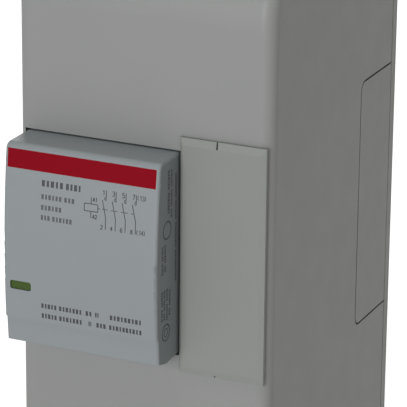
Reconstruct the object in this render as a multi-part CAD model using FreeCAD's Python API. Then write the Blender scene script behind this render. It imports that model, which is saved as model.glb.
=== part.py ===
"""Small wall enclosure holding a two-module DIN-rail contactor, with a blanking plate beside its nose.

Millimetres. X runs to the right, Y towards the wall and Z up. The origin is the middle of the face
that lies on the wall, level with the middle of the rail. The contactor is drawn with its own three
numbers: x from its centre line, h forward from the front plane of the rail, and z up.
"""

import FreeCAD
import Part

import math
import os

# Enclosure
ENCLOSURE_WIDTH = 59.0
ENCLOSURE_HEIGHT = 136.0
ENCLOSURE_DEPTH = 71.0
COVER_WALL = 1.7
CORNER_RADIUS = 3.0  # the long edges of the cover
BROW_RADIUS = 17.0  # the cover's front where it turns into its top and bottom
BASE_THICKNESS = 2.5
BASE_LIP_WALL = 1.5
BASE_LIP_HEIGHT = 8.0
LEAST_RADIUS = 0.5
SEAM_GAP = 0.3  # between the cover's rim and the base, and between the cover and the base's lip
RAIL_PILLAR_RADIUS = 4.5
SCREW_PILLAR_RADIUS = 4.6

# Wall fixing
WALL_SLOT_SPACING_X = 36.0
WALL_SLOT_SPACING_Z = 100.0
WALL_SLOT_WIDTH = 4.5
WALL_SLOT_LENGTH = 8.0

# Break-out panels marked in the cover by a shallow groove
SIDE_KNOCKOUT_HEIGHT = 58.0
SIDE_KNOCKOUT_DROP = 2.0  # its middle is this far below the rail's
SIDE_KNOCKOUT_DEPTH = 18.4  # forward from the cover's rim
SIDE_KNOCKOUT_RADIUS = 2.5
CABLE_KNOCKOUT_RADIUS = 8.2
CABLE_KNOCKOUT_SETOUT = 21.0  # its centre's distance forward from the cover's rim
GROOVE_WIDTH = 0.45
GROOVE_DEPTH = 0.5

# Cover screws, a quarter turn to lock
SCREW_INSET = 8.0  # from the enclosure's top and bottom
SCREW_HEAD_RADIUS = 3.3
SCREW_HEAD_HEIGHT = 2.4
SCREW_HEAD_EDGE = 0.4
SCREW_SHANK_RADIUS = 1.6
SCREW_SEAT_DEPTH = 9.0  # the seat's depth behind the front plane
SCREW_RECESS_REACH = 2.1
SCREW_RECESS_DEPTH = 1.3
WELL_CLEARANCE = 0.5
LOCK_SHEET = 1.0  # the bracket on each pillar that takes the screw's locking bar
LOCK_CHAMBER = 2.6
LOCK_SLOT_HALF = 2.0
LOCK_INSIDE_HALF = 3.5
LOCK_LENGTH = 7.0
LOCK_BAR_RADIUS = 0.8
LOCK_BAR_REACH = 2.7

# Fits
RUNNING_CLEARANCE = 0.05  # round a part that turns or slides in a bore
CONTACT_GAP = 0.05  # between faces that rest on each other and move apart
SLIP_FIT = 0.1  # beside a part that lies in a slot
PART_GAP = 0.3  # between parts that must not touch
SLOT_WIDTH = 0.9  # the wings of every screwdriver recess

# Rail
RAIL_LENGTH = 50.0
RAIL_WIDTH = 35.0
RAIL_WEB_WIDTH = 27.0
RAIL_HEIGHT = 7.5
RAIL_SHEET = 1.0
RAIL_BEND_RADIUS = 0.6
RAIL_HOLE_RADIUS = 2.0
RAIL_SCREW_SPACING = 40.0
RAIL_SCREW_RADIUS = 1.5
RAIL_SCREW_HEAD_RADIUS = 3.2
RAIL_SCREW_HEAD_HEIGHT = 2.0
RAIL_SCREW_HEAD_EDGE = 0.7
RAIL_SCREW_RECESS_REACH = 1.9
RAIL_SCREW_RECESS_DEPTH = 1.1

# Window and module grid
MODULE = 18.0
CONTACTOR_MODULES = 2
BLANK_MODULES = 1
WINDOW_GAP = 0.4
PLATE_THICKNESS = 1.2
PLATE_OVERLAP = 3.3  # above and below the window
PLATE_EDGE_RADIUS = 1.0
PLATE_END_BEVEL = 1.6
PLATE_SIDE_BEVEL = 1.2
PLATE_BEVEL_DEPTH = 0.4
PLATE_SIDE_INSET = 0.85  # from the enclosure's right side
PLATE_LEG_DEPTH = 8.0
PLATE_SIDE_CUTOUT = 9.0  # how far the open side stays away from the legs' ends
NICK_WIDTH = 0.4
NICK_TOP = 1.6
NICK_BOTTOM = 0.5
NICK_SKIN = 0.3

# Contactor, outside
CONTACTOR_HEIGHT = 85.0
RAIL_TO_CREST = 60.0
FOOT_DEPTH = 5.0
NOSE_PROUD = 11.2  # how far the crest stands in front of the enclosure
NOSE_TOP = 22.5
NOSE_BOTTOM = -22.7
FACE_RADIUS = 205.0
FACE_CREST_Z = -4.0
BROW_EDGE_RADIUS = 1.7
NOSE_EDGE_RADIUS = 0.7
CHIN_RISE = 1.0
CHIN_DEPTH = 4.5
HEEL_RISE = 0.5
SHOULDER = 44.6
DECK_CLEARANCE = 0.4  # from the carrier's plate to the deck, where the two housings meet
SHOULDER_BEVEL = 2.0
HOUSING_WALL = 1.4
HOUSING_EDGE_RADIUS = 1.0
HOOK_THICKNESS = 2.1
HOOK_LENGTH = 1.8  # how far the fixed hook goes behind the rail's flange
FOOT_STEP = 8.0  # the upper foot ends this far below the contactor's top
HOUSING_SCREW_X = 13.8
HOUSING_SCREW_Z = 38.4
HOUSING_SCREW_RADIUS = 1.1
HOUSING_SCREW_TIP = 30.2
HOUSING_SCREW_SEAT = 2.0
HOUSING_SCREW_HEAD_RADIUS = 2.1
HOUSING_SCREW_HEAD_HEIGHT = 1.5
HOUSING_SCREW_RECESS_REACH = 1.3
HOUSING_SCREW_RECESS_DEPTH = 0.8
SCREW_POST_HALF = 2.6

# Contactor, front
FACE_PLATE_THICKNESS = 1.4
FACE_PLATE_BOTTOM = -16.2
FACE_PLATE_TOP = 21.4
CHIN_SETBACK = 0.5
BAND_BOTTOM = 17.3
BAND_THICKNESS = 0.3
BAND_INSET = 0.7
INDICATOR_X = -14.0
INDICATOR_Z = -8.65
INDICATOR_WIDTH = 5.0
INDICATOR_HEIGHT = 2.0
INDICATOR_RECESS = 0.45
INDICATOR_CORNER = 0.55
FLAG_GAP = 0.4  # between the flag and the lens
FLAG_ARM_SETDOWN = 1.0  # the flag's arm starts this far below the middle

# Terminals
TERMINAL_Z = 33.0
POCKET_SIDE_CLEARANCE = 0.2  # beside a clamp
POCKET_END_CLEARANCE = 0.8
POCKET_FLOOR = 29.4
CLAMP_WIDTH = 5.3
CLAMP_LENGTH = 7.4
CLAMP_SHEET = 0.6
CLAMP_FLOOR = 1.2
CLAMP_BRIDGE = 1.3
CLAMP_MOUTH = 5.8
CLAMP_TRAVEL = 2.4
TERMINAL_SCREW_RADIUS = 1.7
TERMINAL_HEAD_RADIUS = 2.45
TERMINAL_HEAD_HEIGHT = 1.8
STRIP_FRONT = 37.2
STRIP_THICKNESS = 1.2
STRIP_WIDTH = 4.0
STRIP_CORNER = 0.8
CLAMP_CORNER = 0.5
TERMINAL_RECESS_REACH = 1.9
TERMINAL_RECESS_DEPTH = 1.0
HEAD_LIP = 0.3  # how far the housing overlaps a screw head's edge
COIL_STRIP_LEG = 0.9

# Contacts
STROKE = 3.0
CONTACT_OPENING = 2.2
TIP_Z = 8.6
TIP_RADIUS = 1.5
TIP_THICKNESS = 0.8
TIP_MARGIN = 0.2  # between a fixed tip and the end of its strip
BRIDGE_LENGTH = 20.8
BRIDGE_THICKNESS = 1.0
BRIDGE_WIDTH = 3.4
BRIDGE_CORNER = 1.2
CONTACT_SPRING_RADIUS = 1.35
CONTACT_SPRING_WIRE = 0.4
CONTACT_SPRING_TURNS = 5
CHAMBER_LENGTH = 26.8
CHAMBER_FLOOR = 34.5
POST_LENGTH = 9.2
POST_CLEARANCE = 0.2
POST_CHEEK = 0.7
CROSSBAR_CLEARANCE = 1.9  # from the shoulder to the crossbar of the closed contactor
CROSSBAR_THICKNESS = 2.0

# Magnet
CORE_WIDTH = 16.0
CORE_LENGTH = 42.0
CORE_LEG = 5.0
CORE_CENTRE_LEG = 8.0
CORE_BACK = 2.6
CORE_YOKE = 4.0
CORE_FACE = 17.0
RIVET_RADIUS = 1.0
RIVET_HEAD_RADIUS = 1.5
RIVET_HEAD_HEIGHT = 0.5
RIVET_SETBACK = 4.0  # the front rivets' distance behind the pole faces
PAD_WIDTH = 14.0
PAD_START_Z = 9.0
PAD_SETBACK = 1.0
PAD_CORNER = 1.5
PIN_RADIUS = 1.3
PIN_OVERHANG = 1.8
ARMATURE_THICKNESS = 3.5
ARMATURE_EDGE = 1.0
BOBBIN_WIDTH = 29.6
BOBBIN_LENGTH = 31.2
BOBBIN_WALL = 0.8
BOBBIN_BACK = 6.8
BOBBIN_FRONT = 16.6
BOBBIN_CORNER = 2.0
BOBBIN_TUBE_CORNER = 0.7
WINDING_INSET = 0.8
WINDING_CORNER = 4.0
CARRIER_PLATE = 2.0
CARRIER_ARM_HALF = 4.0
LUG_THICKNESS = 1.5
LUG_HALF = 2.6
LUG_REACH = 2.0  # how far the lugs go past the pin's middle
RETURN_SPRING_Z = 26.0
RETURN_SPRING_SEAT = 6.0
RETURN_SPRING_RADIUS = 2.5
RETURN_SPRING_WIRE = 0.6
RETURN_SPRING_TURNS = 7
RETURN_SPRING_STUD = 3.0  # the spring seat's stud, forward of the seat
RETURN_SEAT_RIM = 0.6
RETURN_STUD_INSET = 0.7

# Rectifier
BOARD_BACK = 12.0
BOARD_THICKNESS = 1.2
BOARD_HALF_WIDTH = 10.4
BOARD_BOTTOM = 30.4
BOARD_TOP = 40.6
BOARD_CORNER = 0.8
BOARD_POST_X = 8.0
BOARD_POST_Z = 36.0
BOARD_POST_RADIUS = 1.4
DIODE_COUNT = 4
DIODE_START_X = -8.6
DIODE_PITCH = 3.2
DIODE_RADIUS = 1.2
DIODE_LENGTH = 4.8
DIODE_SETUP = 2.6
SUPPRESSOR_X = 6.5
SUPPRESSOR_THICKNESS = 2.2
SUPPRESSOR_RADIUS = 3.1
SUPPRESSOR_EDGE = 0.6

# Rail clip
CLIP_WIDTH = 14.0
CLIP_THICKNESS = 2.6
CLIP_REACH = 1.6  # how far its nose goes behind the rail's flange
CLIP_TAIL = 3.5  # how far it sticks out below the contactor
CLIP_CLEARANCE = 0.2
CLIP_BEVEL = 0.6
CLIP_CHANNEL_LIP = 1.7
CLIP_STOP_SETUP = 6.0  # the spring stop's height above the contactor's bottom
CLIP_STOP_HEIGHT = 1.5
CLIP_STOP_HALF = 1.6
CLIP_SLOT_HALF = 1.9
CLIP_SLOT_LENGTH = 13.0
CLIP_DRIVER_HALF = 3.0
CLIP_DRIVER_SETUP = 1.4
CLIP_DRIVER_HEIGHT = 1.5
CLIP_SPRING_RADIUS = 0.95
CLIP_SPRING_WIRE = 0.35
CLIP_SPRING_TURNS = 8

# Working values
OVERSHOOT = 1.0  # how far a cutting tool runs past what it cuts
CROSS_ANGLE = 45.0  # how the recesses of the screws nobody sees are turned
NEAR = 1e-6

# Values that follow
HALF_WIDTH = ENCLOSURE_WIDTH / 2
HALF_HEIGHT = ENCLOSURE_HEIGHT / 2
FRONT_Y = -ENCLOSURE_DEPTH
RIM_Y = -BASE_THICKNESS - SEAM_GAP
CONTACTOR_WIDTH = MODULE * CONTACTOR_MODULES
HALF_CONTACTOR = CONTACTOR_WIDTH / 2
HALF_BODY = CONTACTOR_HEIGHT / 2
WINDOW_LEFT = -HALF_WIDTH + COVER_WALL
CONTACTOR_X = WINDOW_LEFT + WINDOW_GAP + HALF_CONTACTOR
WINDOW_RIGHT = CONTACTOR_X + HALF_CONTACTOR + MODULE * BLANK_MODULES + WINDOW_GAP
WINDOW_TOP = NOSE_TOP + WINDOW_GAP
WINDOW_BOTTOM = NOSE_BOTTOM - WINDOW_GAP
RAIL_Y = FRONT_Y - NOSE_PROUD + RAIL_TO_CREST
RAIL_BACK_Y = RAIL_Y + RAIL_HEIGHT
FACE_CENTRE_Y = RAIL_Y - RAIL_TO_CREST + FACE_RADIUS
SCREW_Z = HALF_HEIGHT - SCREW_INSET
SCREW_SEAT_Y = FRONT_Y + SCREW_SEAT_DEPTH
HALF_INSIDE = HALF_CONTACTOR - HOUSING_WALL
POCKET_WIDTH = CLAMP_WIDTH + 2 * POCKET_SIDE_CLEARANCE
POCKET_LENGTH = CLAMP_LENGTH + 2 * POCKET_END_CLEARANCE
POSITION_PITCH = (CONTACTOR_WIDTH - 2 * HOUSING_WALL - POCKET_WIDTH) / 4
POSITIONS = [(i - 2) * POSITION_PITCH for i in range(5)]
COIL_X = POSITIONS[0]
POLES = POSITIONS[1:]
TERMINALS_TOP = ["a1", "1", "3", "5", "7"]
TERMINALS_BOTTOM = ["a2", "2", "4", "6", "8"]
STRIP_BACK = STRIP_FRONT - STRIP_THICKNESS
STRIP_INNER_Z = TIP_Z - TIP_RADIUS - TIP_MARGIN
STRIP_OUTER_Z = TERMINAL_Z + CLAMP_LENGTH / 2 - SLIP_FIT
COIL_LEG_OUTER_Z = TERMINAL_Z - CLAMP_LENGTH / 2 - PART_GAP
COIL_LEG_INNER_Z = COIL_LEG_OUTER_Z - COIL_STRIP_LEG
CLAMP_MOUTH_FRONT = STRIP_FRONT + 2 * SLIP_FIT
CLAMP_TOP = CLAMP_MOUTH_FRONT + CLAMP_BRIDGE
CLAMP_MOUTH_BACK = CLAMP_MOUTH_FRONT - CLAMP_MOUTH
HEAD_SEAT = CLAMP_TOP + CLAMP_TRAVEL + PART_GAP
POCKET_FRONT = HEAD_SEAT + TERMINAL_HEAD_HEIGHT + 2 * SLIP_FIT
BRIDGE_BACK = STRIP_FRONT + 2 * TIP_THICKNESS + CONTACT_OPENING
BRIDGE_FRONT = BRIDGE_BACK + BRIDGE_THICKNESS
ARMATURE_BACK = CORE_FACE + STROKE + CONTACT_GAP
ARMATURE_FRONT = ARMATURE_BACK + ARMATURE_THICKNESS
PLATE_FLOOR = ARMATURE_FRONT + CONTACT_GAP
PLATE_FRONT = PLATE_FLOOR + CARRIER_PLATE
DECK = PLATE_FRONT + DECK_CLEARANCE
PIN_H = ARMATURE_BACK + ARMATURE_THICKNESS / 2
POST_HALF = POCKET_WIDTH / 2 - POST_CLEARANCE
CARRIER_X0 = POLES[0] - POST_HALF
CARRIER_X1 = POLES[-1] + POST_HALF
CROSSBAR_FLOOR = SHOULDER + STROKE + CROSSBAR_CLEARANCE
CROSSBAR_TOP = CROSSBAR_FLOOR + CROSSBAR_THICKNESS
BOARD_FRONT = BOARD_BACK + BOARD_THICKNESS
FLANGE_Z = RAIL_WIDTH / 2
HOOK_Z = FLANGE_Z + PART_GAP
HOOK_FRONT = -RAIL_SHEET - PART_GAP
CLIP_STOP_Z = -HALF_BODY + CLIP_STOP_SETUP
CLIP_SLOT_TOP = CLIP_STOP_Z + CLIP_SLOT_LENGTH
LOCK_FRONT_Y = SCREW_SEAT_Y + COVER_WALL + PART_GAP
LOCK_Y = LOCK_FRONT_Y + LOCK_SHEET
LOCK_BACK_Y = LOCK_Y + LOCK_CHAMBER
LOCK_BAR_Y = LOCK_Y + LOCK_CHAMBER / 2
PILLAR_FRONT_Y = LOCK_BACK_Y + LOCK_SHEET


def box(x0, x1, y0, y1, z0, z1):
    """A block between two corners in the enclosure's frame."""
    return Part.makeBox(x1 - x0, y1 - y0, z1 - z0, FreeCAD.Vector(x0, y0, z0))


def rod(x, z, radius, y0, y1):
    """A cylinder along Y."""
    return Part.makeCylinder(radius, y1 - y0, FreeCAD.Vector(x, y0, z), FreeCAD.Vector(0, 1, 0))


def block(x0, x1, h0, h1, z0, z1):
    """A block between two corners in the contactor's numbers."""
    return box(CONTACTOR_X + x0, CONTACTOR_X + x1, RAIL_Y - h1, RAIL_Y - h0, z0, z1)


def peg(x, z, radius, h0, h1):
    """A cylinder square to the rail's front plane, in the contactor's numbers."""
    return rod(CONTACTOR_X + x, z, radius, RAIL_Y - h1, RAIL_Y - h0)


def cross_rod(x0, x1, h, z, radius):
    """A cylinder along X, in the contactor's numbers."""
    start = FreeCAD.Vector(CONTACTOR_X + x0, RAIL_Y - h, z)
    return Part.makeCylinder(radius, x1 - x0, start, FreeCAD.Vector(1, 0, 0))


def span(end, inner, outer):
    """Two distances from the middle, on its low or its high side, as a low and a high value."""
    return sorted([end * inner, end * outer])


def taper(rear, front, y0, y1):
    """A block that goes from one (x0, x1, z0, z1) rectangle at y0 to another at y1."""
    outlines = []
    for (x0, x1, z0, z1), y in ((rear, y0), (front, y1)):
        corners = [(x0, z0), (x1, z0), (x1, z1), (x0, z1), (x0, z0)]
        outlines.append(Part.makePolygon([FreeCAD.Vector(x, y, z) for x, z in corners]))
    return Part.makeLoft(outlines, True, True)


def single(shape):
    """The bare solid where a result holds only one."""
    return shape.Solids[0] if len(shape.Solids) == 1 else shape


def fuse(shapes):
    """One solid of several that touch or overlap."""
    return single(shapes[0].multiFuse(shapes[1:]).removeSplitter())


def cut(shape, tools):
    """What is left of a shape after the tools are taken away."""
    return single(shape.cut([solid for tool in tools for solid in tool.Solids]))


def overlap(shape, other):
    """What two shapes share."""
    return single(shape.common(other))


def edges_along(shape, axis, keep=lambda point: True):
    """Straight edges that run along an axis and whose middle passes a test."""
    found = []
    for edge in shape.Edges:
        if not isinstance(edge.Curve, Part.Line):
            continue
        run = edge.Vertexes[1].Point - edge.Vertexes[0].Point
        if abs(abs(run.normalize().dot(axis)) - 1) < NEAR and keep(edge.CenterOfMass):
            found.append(edge)
    return found


def rounded(shape, radius, axis, keep=lambda point: True):
    """A shape with its straight edges along an axis rounded."""
    return single(shape.makeFillet(radius, edges_along(shape, FreeCAD.Vector(*axis), keep)))


def spring(centre, direction, length, radius, wire, turns):
    """A helical spring of half turns, with its first and last coil inside its length."""
    origin = FreeCAD.Vector(0, 0, 0)
    up = FreeCAD.Vector(0, 0, 1)
    rise = (length - 2 * wire) / turns / 2
    helix = Part.makeHelix(2 * rise, rise, radius)
    slope = FreeCAD.Vector(0, math.pi * radius, rise)
    section = Part.Wire(Part.makeCircle(wire / 2, FreeCAD.Vector(radius, 0, 0), slope))
    runs = []
    for i in range(2 * turns):
        run = Part.Wire(helix).makePipeShell([section], True, True)
        run.rotate(origin, up, math.degrees(math.pi * i))
        run.translate(up * (wire + rise * i))
        runs.append(run)
    coil = single(runs[0].multiFuse(runs[1:]))
    turn = FreeCAD.Rotation(up, direction)
    coil.Placement = FreeCAD.Placement(centre, turn).multiply(coil.Placement)
    return coil


def driver_cross(x, z, reach, y0, y1, angle):
    """The cross-shaped recess in a screw head."""
    half = SLOT_WIDTH / 2
    wings = [box(-reach, reach, y0, y1, -half, half), box(-half, half, y0, y1, -reach, reach)]
    cross = fuse(wings)
    cross.rotate(FreeCAD.Vector(0, 0, 0), FreeCAD.Vector(0, 1, 0), angle)
    cross.translate(FreeCAD.Vector(x, 0, z))
    return cross


# ---------------------------------------------------------------- enclosure


def cover_block(inset):
    """The cover's outside, or its hollow when it is inset by the wall."""
    half_width = HALF_WIDTH - inset
    top = HALF_HEIGHT - inset
    front = FRONT_Y + inset
    radius = BROW_RADIUS - inset
    turn = radius * (1 - math.sqrt(0.5))
    rear = RIM_Y
    points = {
        "rear_low": FreeCAD.Vector(-half_width, rear, -top),
        "low_turn": FreeCAD.Vector(-half_width, front + radius, -top),
        "low_mid": FreeCAD.Vector(-half_width, front + turn, -top + turn),
        "low_front": FreeCAD.Vector(-half_width, front, -top + radius),
        "high_front": FreeCAD.Vector(-half_width, front, top - radius),
        "high_mid": FreeCAD.Vector(-half_width, front + turn, top - turn),
        "high_turn": FreeCAD.Vector(-half_width, front + radius, top),
        "rear_high": FreeCAD.Vector(-half_width, rear, top),
    }
    outline = Part.Wire(
        [
            Part.LineSegment(points["rear_low"], points["low_turn"]).toShape(),
            Part.Arc(points["low_turn"], points["low_mid"], points["low_front"]).toShape(),
            Part.LineSegment(points["low_front"], points["high_front"]).toShape(),
            Part.Arc(points["high_front"], points["high_mid"], points["high_turn"]).toShape(),
            Part.LineSegment(points["high_turn"], points["rear_high"]).toShape(),
            Part.LineSegment(points["rear_high"], points["rear_low"]).toShape(),
        ]
    )
    solid = Part.Face(outline).extrude(FreeCAD.Vector(2 * half_width, 0, 0))
    sides = [
        edge
        for edge in solid.Edges
        if abs(abs(edge.CenterOfMass.x) - half_width) < NEAR and edge.CenterOfMass.y < rear - NEAR
    ]
    return solid.makeFillet(CORNER_RADIUS - inset, sides)


def side_knockout(side):
    """The groove round the break-out panel in one side of the cover."""
    outer = HALF_WIDTH + OVERSHOOT
    inner = HALF_WIDTH - GROOVE_DEPTH
    middle = -SIDE_KNOCKOUT_DROP
    half = SIDE_KNOCKOUT_HEIGHT / 2
    front = RIM_Y - SIDE_KNOCKOUT_DEPTH
    panel = box(inner, outer, front, OVERSHOOT, middle - half, middle + half)
    panel = rounded(panel, SIDE_KNOCKOUT_RADIUS, (1, 0, 0), lambda point: point.y < RIM_Y)
    core = box(
        inner,
        outer,
        front + GROOVE_WIDTH,
        2 * OVERSHOOT,
        middle - half + GROOVE_WIDTH,
        middle + half - GROOVE_WIDTH,
    )
    inner_radius = SIDE_KNOCKOUT_RADIUS - GROOVE_WIDTH
    core = rounded(core, inner_radius, (1, 0, 0), lambda point: point.y < RIM_Y)
    groove = panel.cut(core)
    if side < 0:
        groove = groove.mirror(FreeCAD.Vector(0, 0, 0), FreeCAD.Vector(1, 0, 0))
    return groove


def cable_knockout(end):
    """The ring groove round the cable break-out in the cover's top or bottom."""
    start = FreeCAD.Vector(
        0, RIM_Y - CABLE_KNOCKOUT_SETOUT, end * (HALF_HEIGHT - GROOVE_DEPTH)
    )
    up = FreeCAD.Vector(0, 0, end)
    height = GROOVE_DEPTH + OVERSHOOT
    outer = Part.makeCylinder(CABLE_KNOCKOUT_RADIUS, height, start, up)
    inner = Part.makeCylinder(CABLE_KNOCKOUT_RADIUS - GROOVE_WIDTH, height, start, up)
    return outer.cut(inner)


def enclosure_cover():
    """The hood: a shell with the window, two screw wells and the break-out grooves."""
    outside = cover_block(0.0)
    hollow = cover_block(COVER_WALL)
    shell = outside.cut(hollow)
    well_radius = SCREW_HEAD_RADIUS + WELL_CLEARANCE
    shank_hole = SCREW_SHANK_RADIUS + RUNNING_CLEARANCE
    seat_back = SCREW_SEAT_Y + COVER_WALL
    wells = []
    holes = []
    for end in (-1, 1):
        tube = rod(0, end * SCREW_Z, well_radius + COVER_WALL, FRONT_Y, seat_back)
        wells.append(tube.common(outside))
        holes.append(rod(0, end * SCREW_Z, well_radius, FRONT_Y - OVERSHOOT, SCREW_SEAT_Y))
        holes.append(rod(0, end * SCREW_Z, shank_hole, FRONT_Y, seat_back + OVERSHOOT))
    shell = fuse([shell, *wells])
    window_back = FRONT_Y + COVER_WALL + CORNER_RADIUS
    window = box(
        WINDOW_LEFT, WINDOW_RIGHT, FRONT_Y - OVERSHOOT, window_back, WINDOW_BOTTOM, WINDOW_TOP
    )
    grooves = [side_knockout(-1), side_knockout(1), cable_knockout(-1), cable_knockout(1)]
    return cut(shell, [window, *holes, *grooves])


def cover_screw(end):
    """A captive quarter-turn screw: head, shank and the bar that locks it."""
    z = end * SCREW_Z
    head_back = SCREW_SEAT_Y - CONTACT_GAP
    head_front = head_back - SCREW_HEAD_HEIGHT
    head = rod(0, z, SCREW_HEAD_RADIUS, head_front, head_back)
    rim = [edge for edge in head.Edges if abs(edge.CenterOfMass.y - head_front) < NEAR]
    head = head.makeFillet(SCREW_HEAD_EDGE, rim)
    shank = rod(0, z, SCREW_SHANK_RADIUS, head_back - OVERSHOOT, LOCK_BACK_Y - PART_GAP)
    bar_start = FreeCAD.Vector(0, LOCK_BAR_Y, z - LOCK_BAR_REACH)
    bar = Part.makeCylinder(LOCK_BAR_RADIUS, 2 * LOCK_BAR_REACH, bar_start, FreeCAD.Vector(0, 0, 1))
    recess_back = head_front + SCREW_RECESS_DEPTH
    recess = driver_cross(0, z, SCREW_RECESS_REACH, head_front - OVERSHOOT, recess_back, 0)
    return cut(fuse([head, shank, bar]), [recess])


def wall_slot(x, z):
    """One slot in the base, long side along X, to take a wall screw."""
    radius = WALL_SLOT_WIDTH / 2
    reach = WALL_SLOT_LENGTH / 2 - radius
    y0 = -BASE_THICKNESS - OVERSHOOT
    y1 = OVERSHOOT
    middle = box(x - reach, x + reach, y0, y1, z - radius, z + radius)
    return fuse([middle, rod(x - reach, z, radius, y0, y1), rod(x + reach, z, radius, y0, y1)])


def base_ring(inset, y0, y1):
    """A rounded block over the whole outline, inset from the enclosure's outside."""
    half_width = HALF_WIDTH - inset
    half_height = HALF_HEIGHT - inset
    slab = box(-half_width, half_width, y0, y1, -half_height, half_height)
    return rounded(slab, max(CORNER_RADIUS - inset, LEAST_RADIUS), (0, 1, 0))


def lock_bracket(end):
    """The bent bracket on a screw pillar: the bar goes in between its lips and turns behind them."""
    half = LOCK_INSIDE_HALF + LOCK_SHEET
    z0 = end * SCREW_Z - LOCK_LENGTH / 2
    z1 = end * SCREW_Z + LOCK_LENGTH / 2
    pieces = [box(-half, half, LOCK_BACK_Y, PILLAR_FRONT_Y, z0, z1)]
    for side in (-1, 1):
        x0, x1 = span(side, LOCK_INSIDE_HALF, half)
        pieces.append(box(x0, x1, LOCK_FRONT_Y, LOCK_BACK_Y, z0, z1))
        x0, x1 = span(side, LOCK_SLOT_HALF, half)
        pieces.append(box(x0, x1, LOCK_FRONT_Y, LOCK_Y, z0, z1))
    return fuse(pieces)


def enclosure_base():
    """The back plate with its lip, the rail's pillars and the cover's screw pillars."""
    plate = base_ring(0.0, -BASE_THICKNESS, 0.0)
    lip_outer = COVER_WALL + PART_GAP
    lip_inner = lip_outer + BASE_LIP_WALL
    lip_front = -BASE_THICKNESS - BASE_LIP_HEIGHT
    lip = base_ring(lip_outer, lip_front, -BASE_THICKNESS)
    lip = lip.cut(base_ring(lip_inner, lip_front - OVERSHOOT, OVERSHOOT))
    pieces = [plate, lip]
    holes = []
    for side in (-1, 1):
        x = side * RAIL_SCREW_SPACING / 2
        pieces.append(rod(x, 0, RAIL_PILLAR_RADIUS, RAIL_BACK_Y, -BASE_THICKNESS))
        rail_bore = RAIL_SCREW_RADIUS + RUNNING_CLEARANCE
        holes.append(rod(x, 0, rail_bore, RAIL_BACK_Y - OVERSHOOT, -BASE_THICKNESS))
        z = side * SCREW_Z
        pieces.append(rod(0, z, SCREW_PILLAR_RADIUS, PILLAR_FRONT_Y, -BASE_THICKNESS))
        for high in (-1, 1):
            holes.append(wall_slot(side * WALL_SLOT_SPACING_X / 2, high * WALL_SLOT_SPACING_Z / 2))
    return cut(fuse(pieces), holes)


def din_rail():
    """The top-hat rail, with its two screw holes."""
    half = RAIL_LENGTH / 2
    web = RAIL_WEB_WIDTH / 2
    pieces = [box(-half, half, RAIL_BACK_Y - RAIL_SHEET, RAIL_BACK_Y, -web, web)]
    for side in (-1, 1):
        low, high = sorted([side * (web - RAIL_SHEET), side * web])
        pieces.append(box(-half, half, RAIL_Y, RAIL_BACK_Y, low, high))
        low, high = sorted([side * (web - RAIL_SHEET), side * FLANGE_Z])
        pieces.append(box(-half, half, RAIL_Y, RAIL_Y + RAIL_SHEET, low, high))
    rail = fuse(pieces)
    rail = rounded(rail, RAIL_BEND_RADIUS, (1, 0, 0), lambda point: abs(abs(point.z) - web) < NEAR)
    holes = []
    y0 = RAIL_BACK_Y - RAIL_SHEET - OVERSHOOT
    for side in (-1, 1):
        x = side * RAIL_SCREW_SPACING / 2
        holes.append(rod(x, 0, RAIL_HOLE_RADIUS, y0, RAIL_BACK_Y + OVERSHOOT))
    return cut(rail, holes)


def rail_screws():
    """The two pan-head screws that hold the rail on its pillars."""
    screws = []
    seat = RAIL_BACK_Y - RAIL_SHEET
    head_front = seat - RAIL_SCREW_HEAD_HEIGHT
    recess_back = head_front + RAIL_SCREW_RECESS_DEPTH
    for side in (-1, 1):
        x = side * RAIL_SCREW_SPACING / 2
        head = rod(x, 0, RAIL_SCREW_HEAD_RADIUS, head_front, seat)
        rim = [edge for edge in head.Edges if abs(edge.CenterOfMass.y - head_front) < NEAR]
        head = head.makeFillet(RAIL_SCREW_HEAD_EDGE, rim)
        shank = rod(x, 0, RAIL_SCREW_RADIUS, seat, -BASE_THICKNESS - OVERSHOOT)
        recess = driver_cross(
            x, 0, RAIL_SCREW_RECESS_REACH, head_front - OVERSHOOT, recess_back, CROSS_ANGLE
        )
        screws.append(cut(fuse([head, shank]), [recess]))
    return Part.makeCompound(screws)


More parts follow.
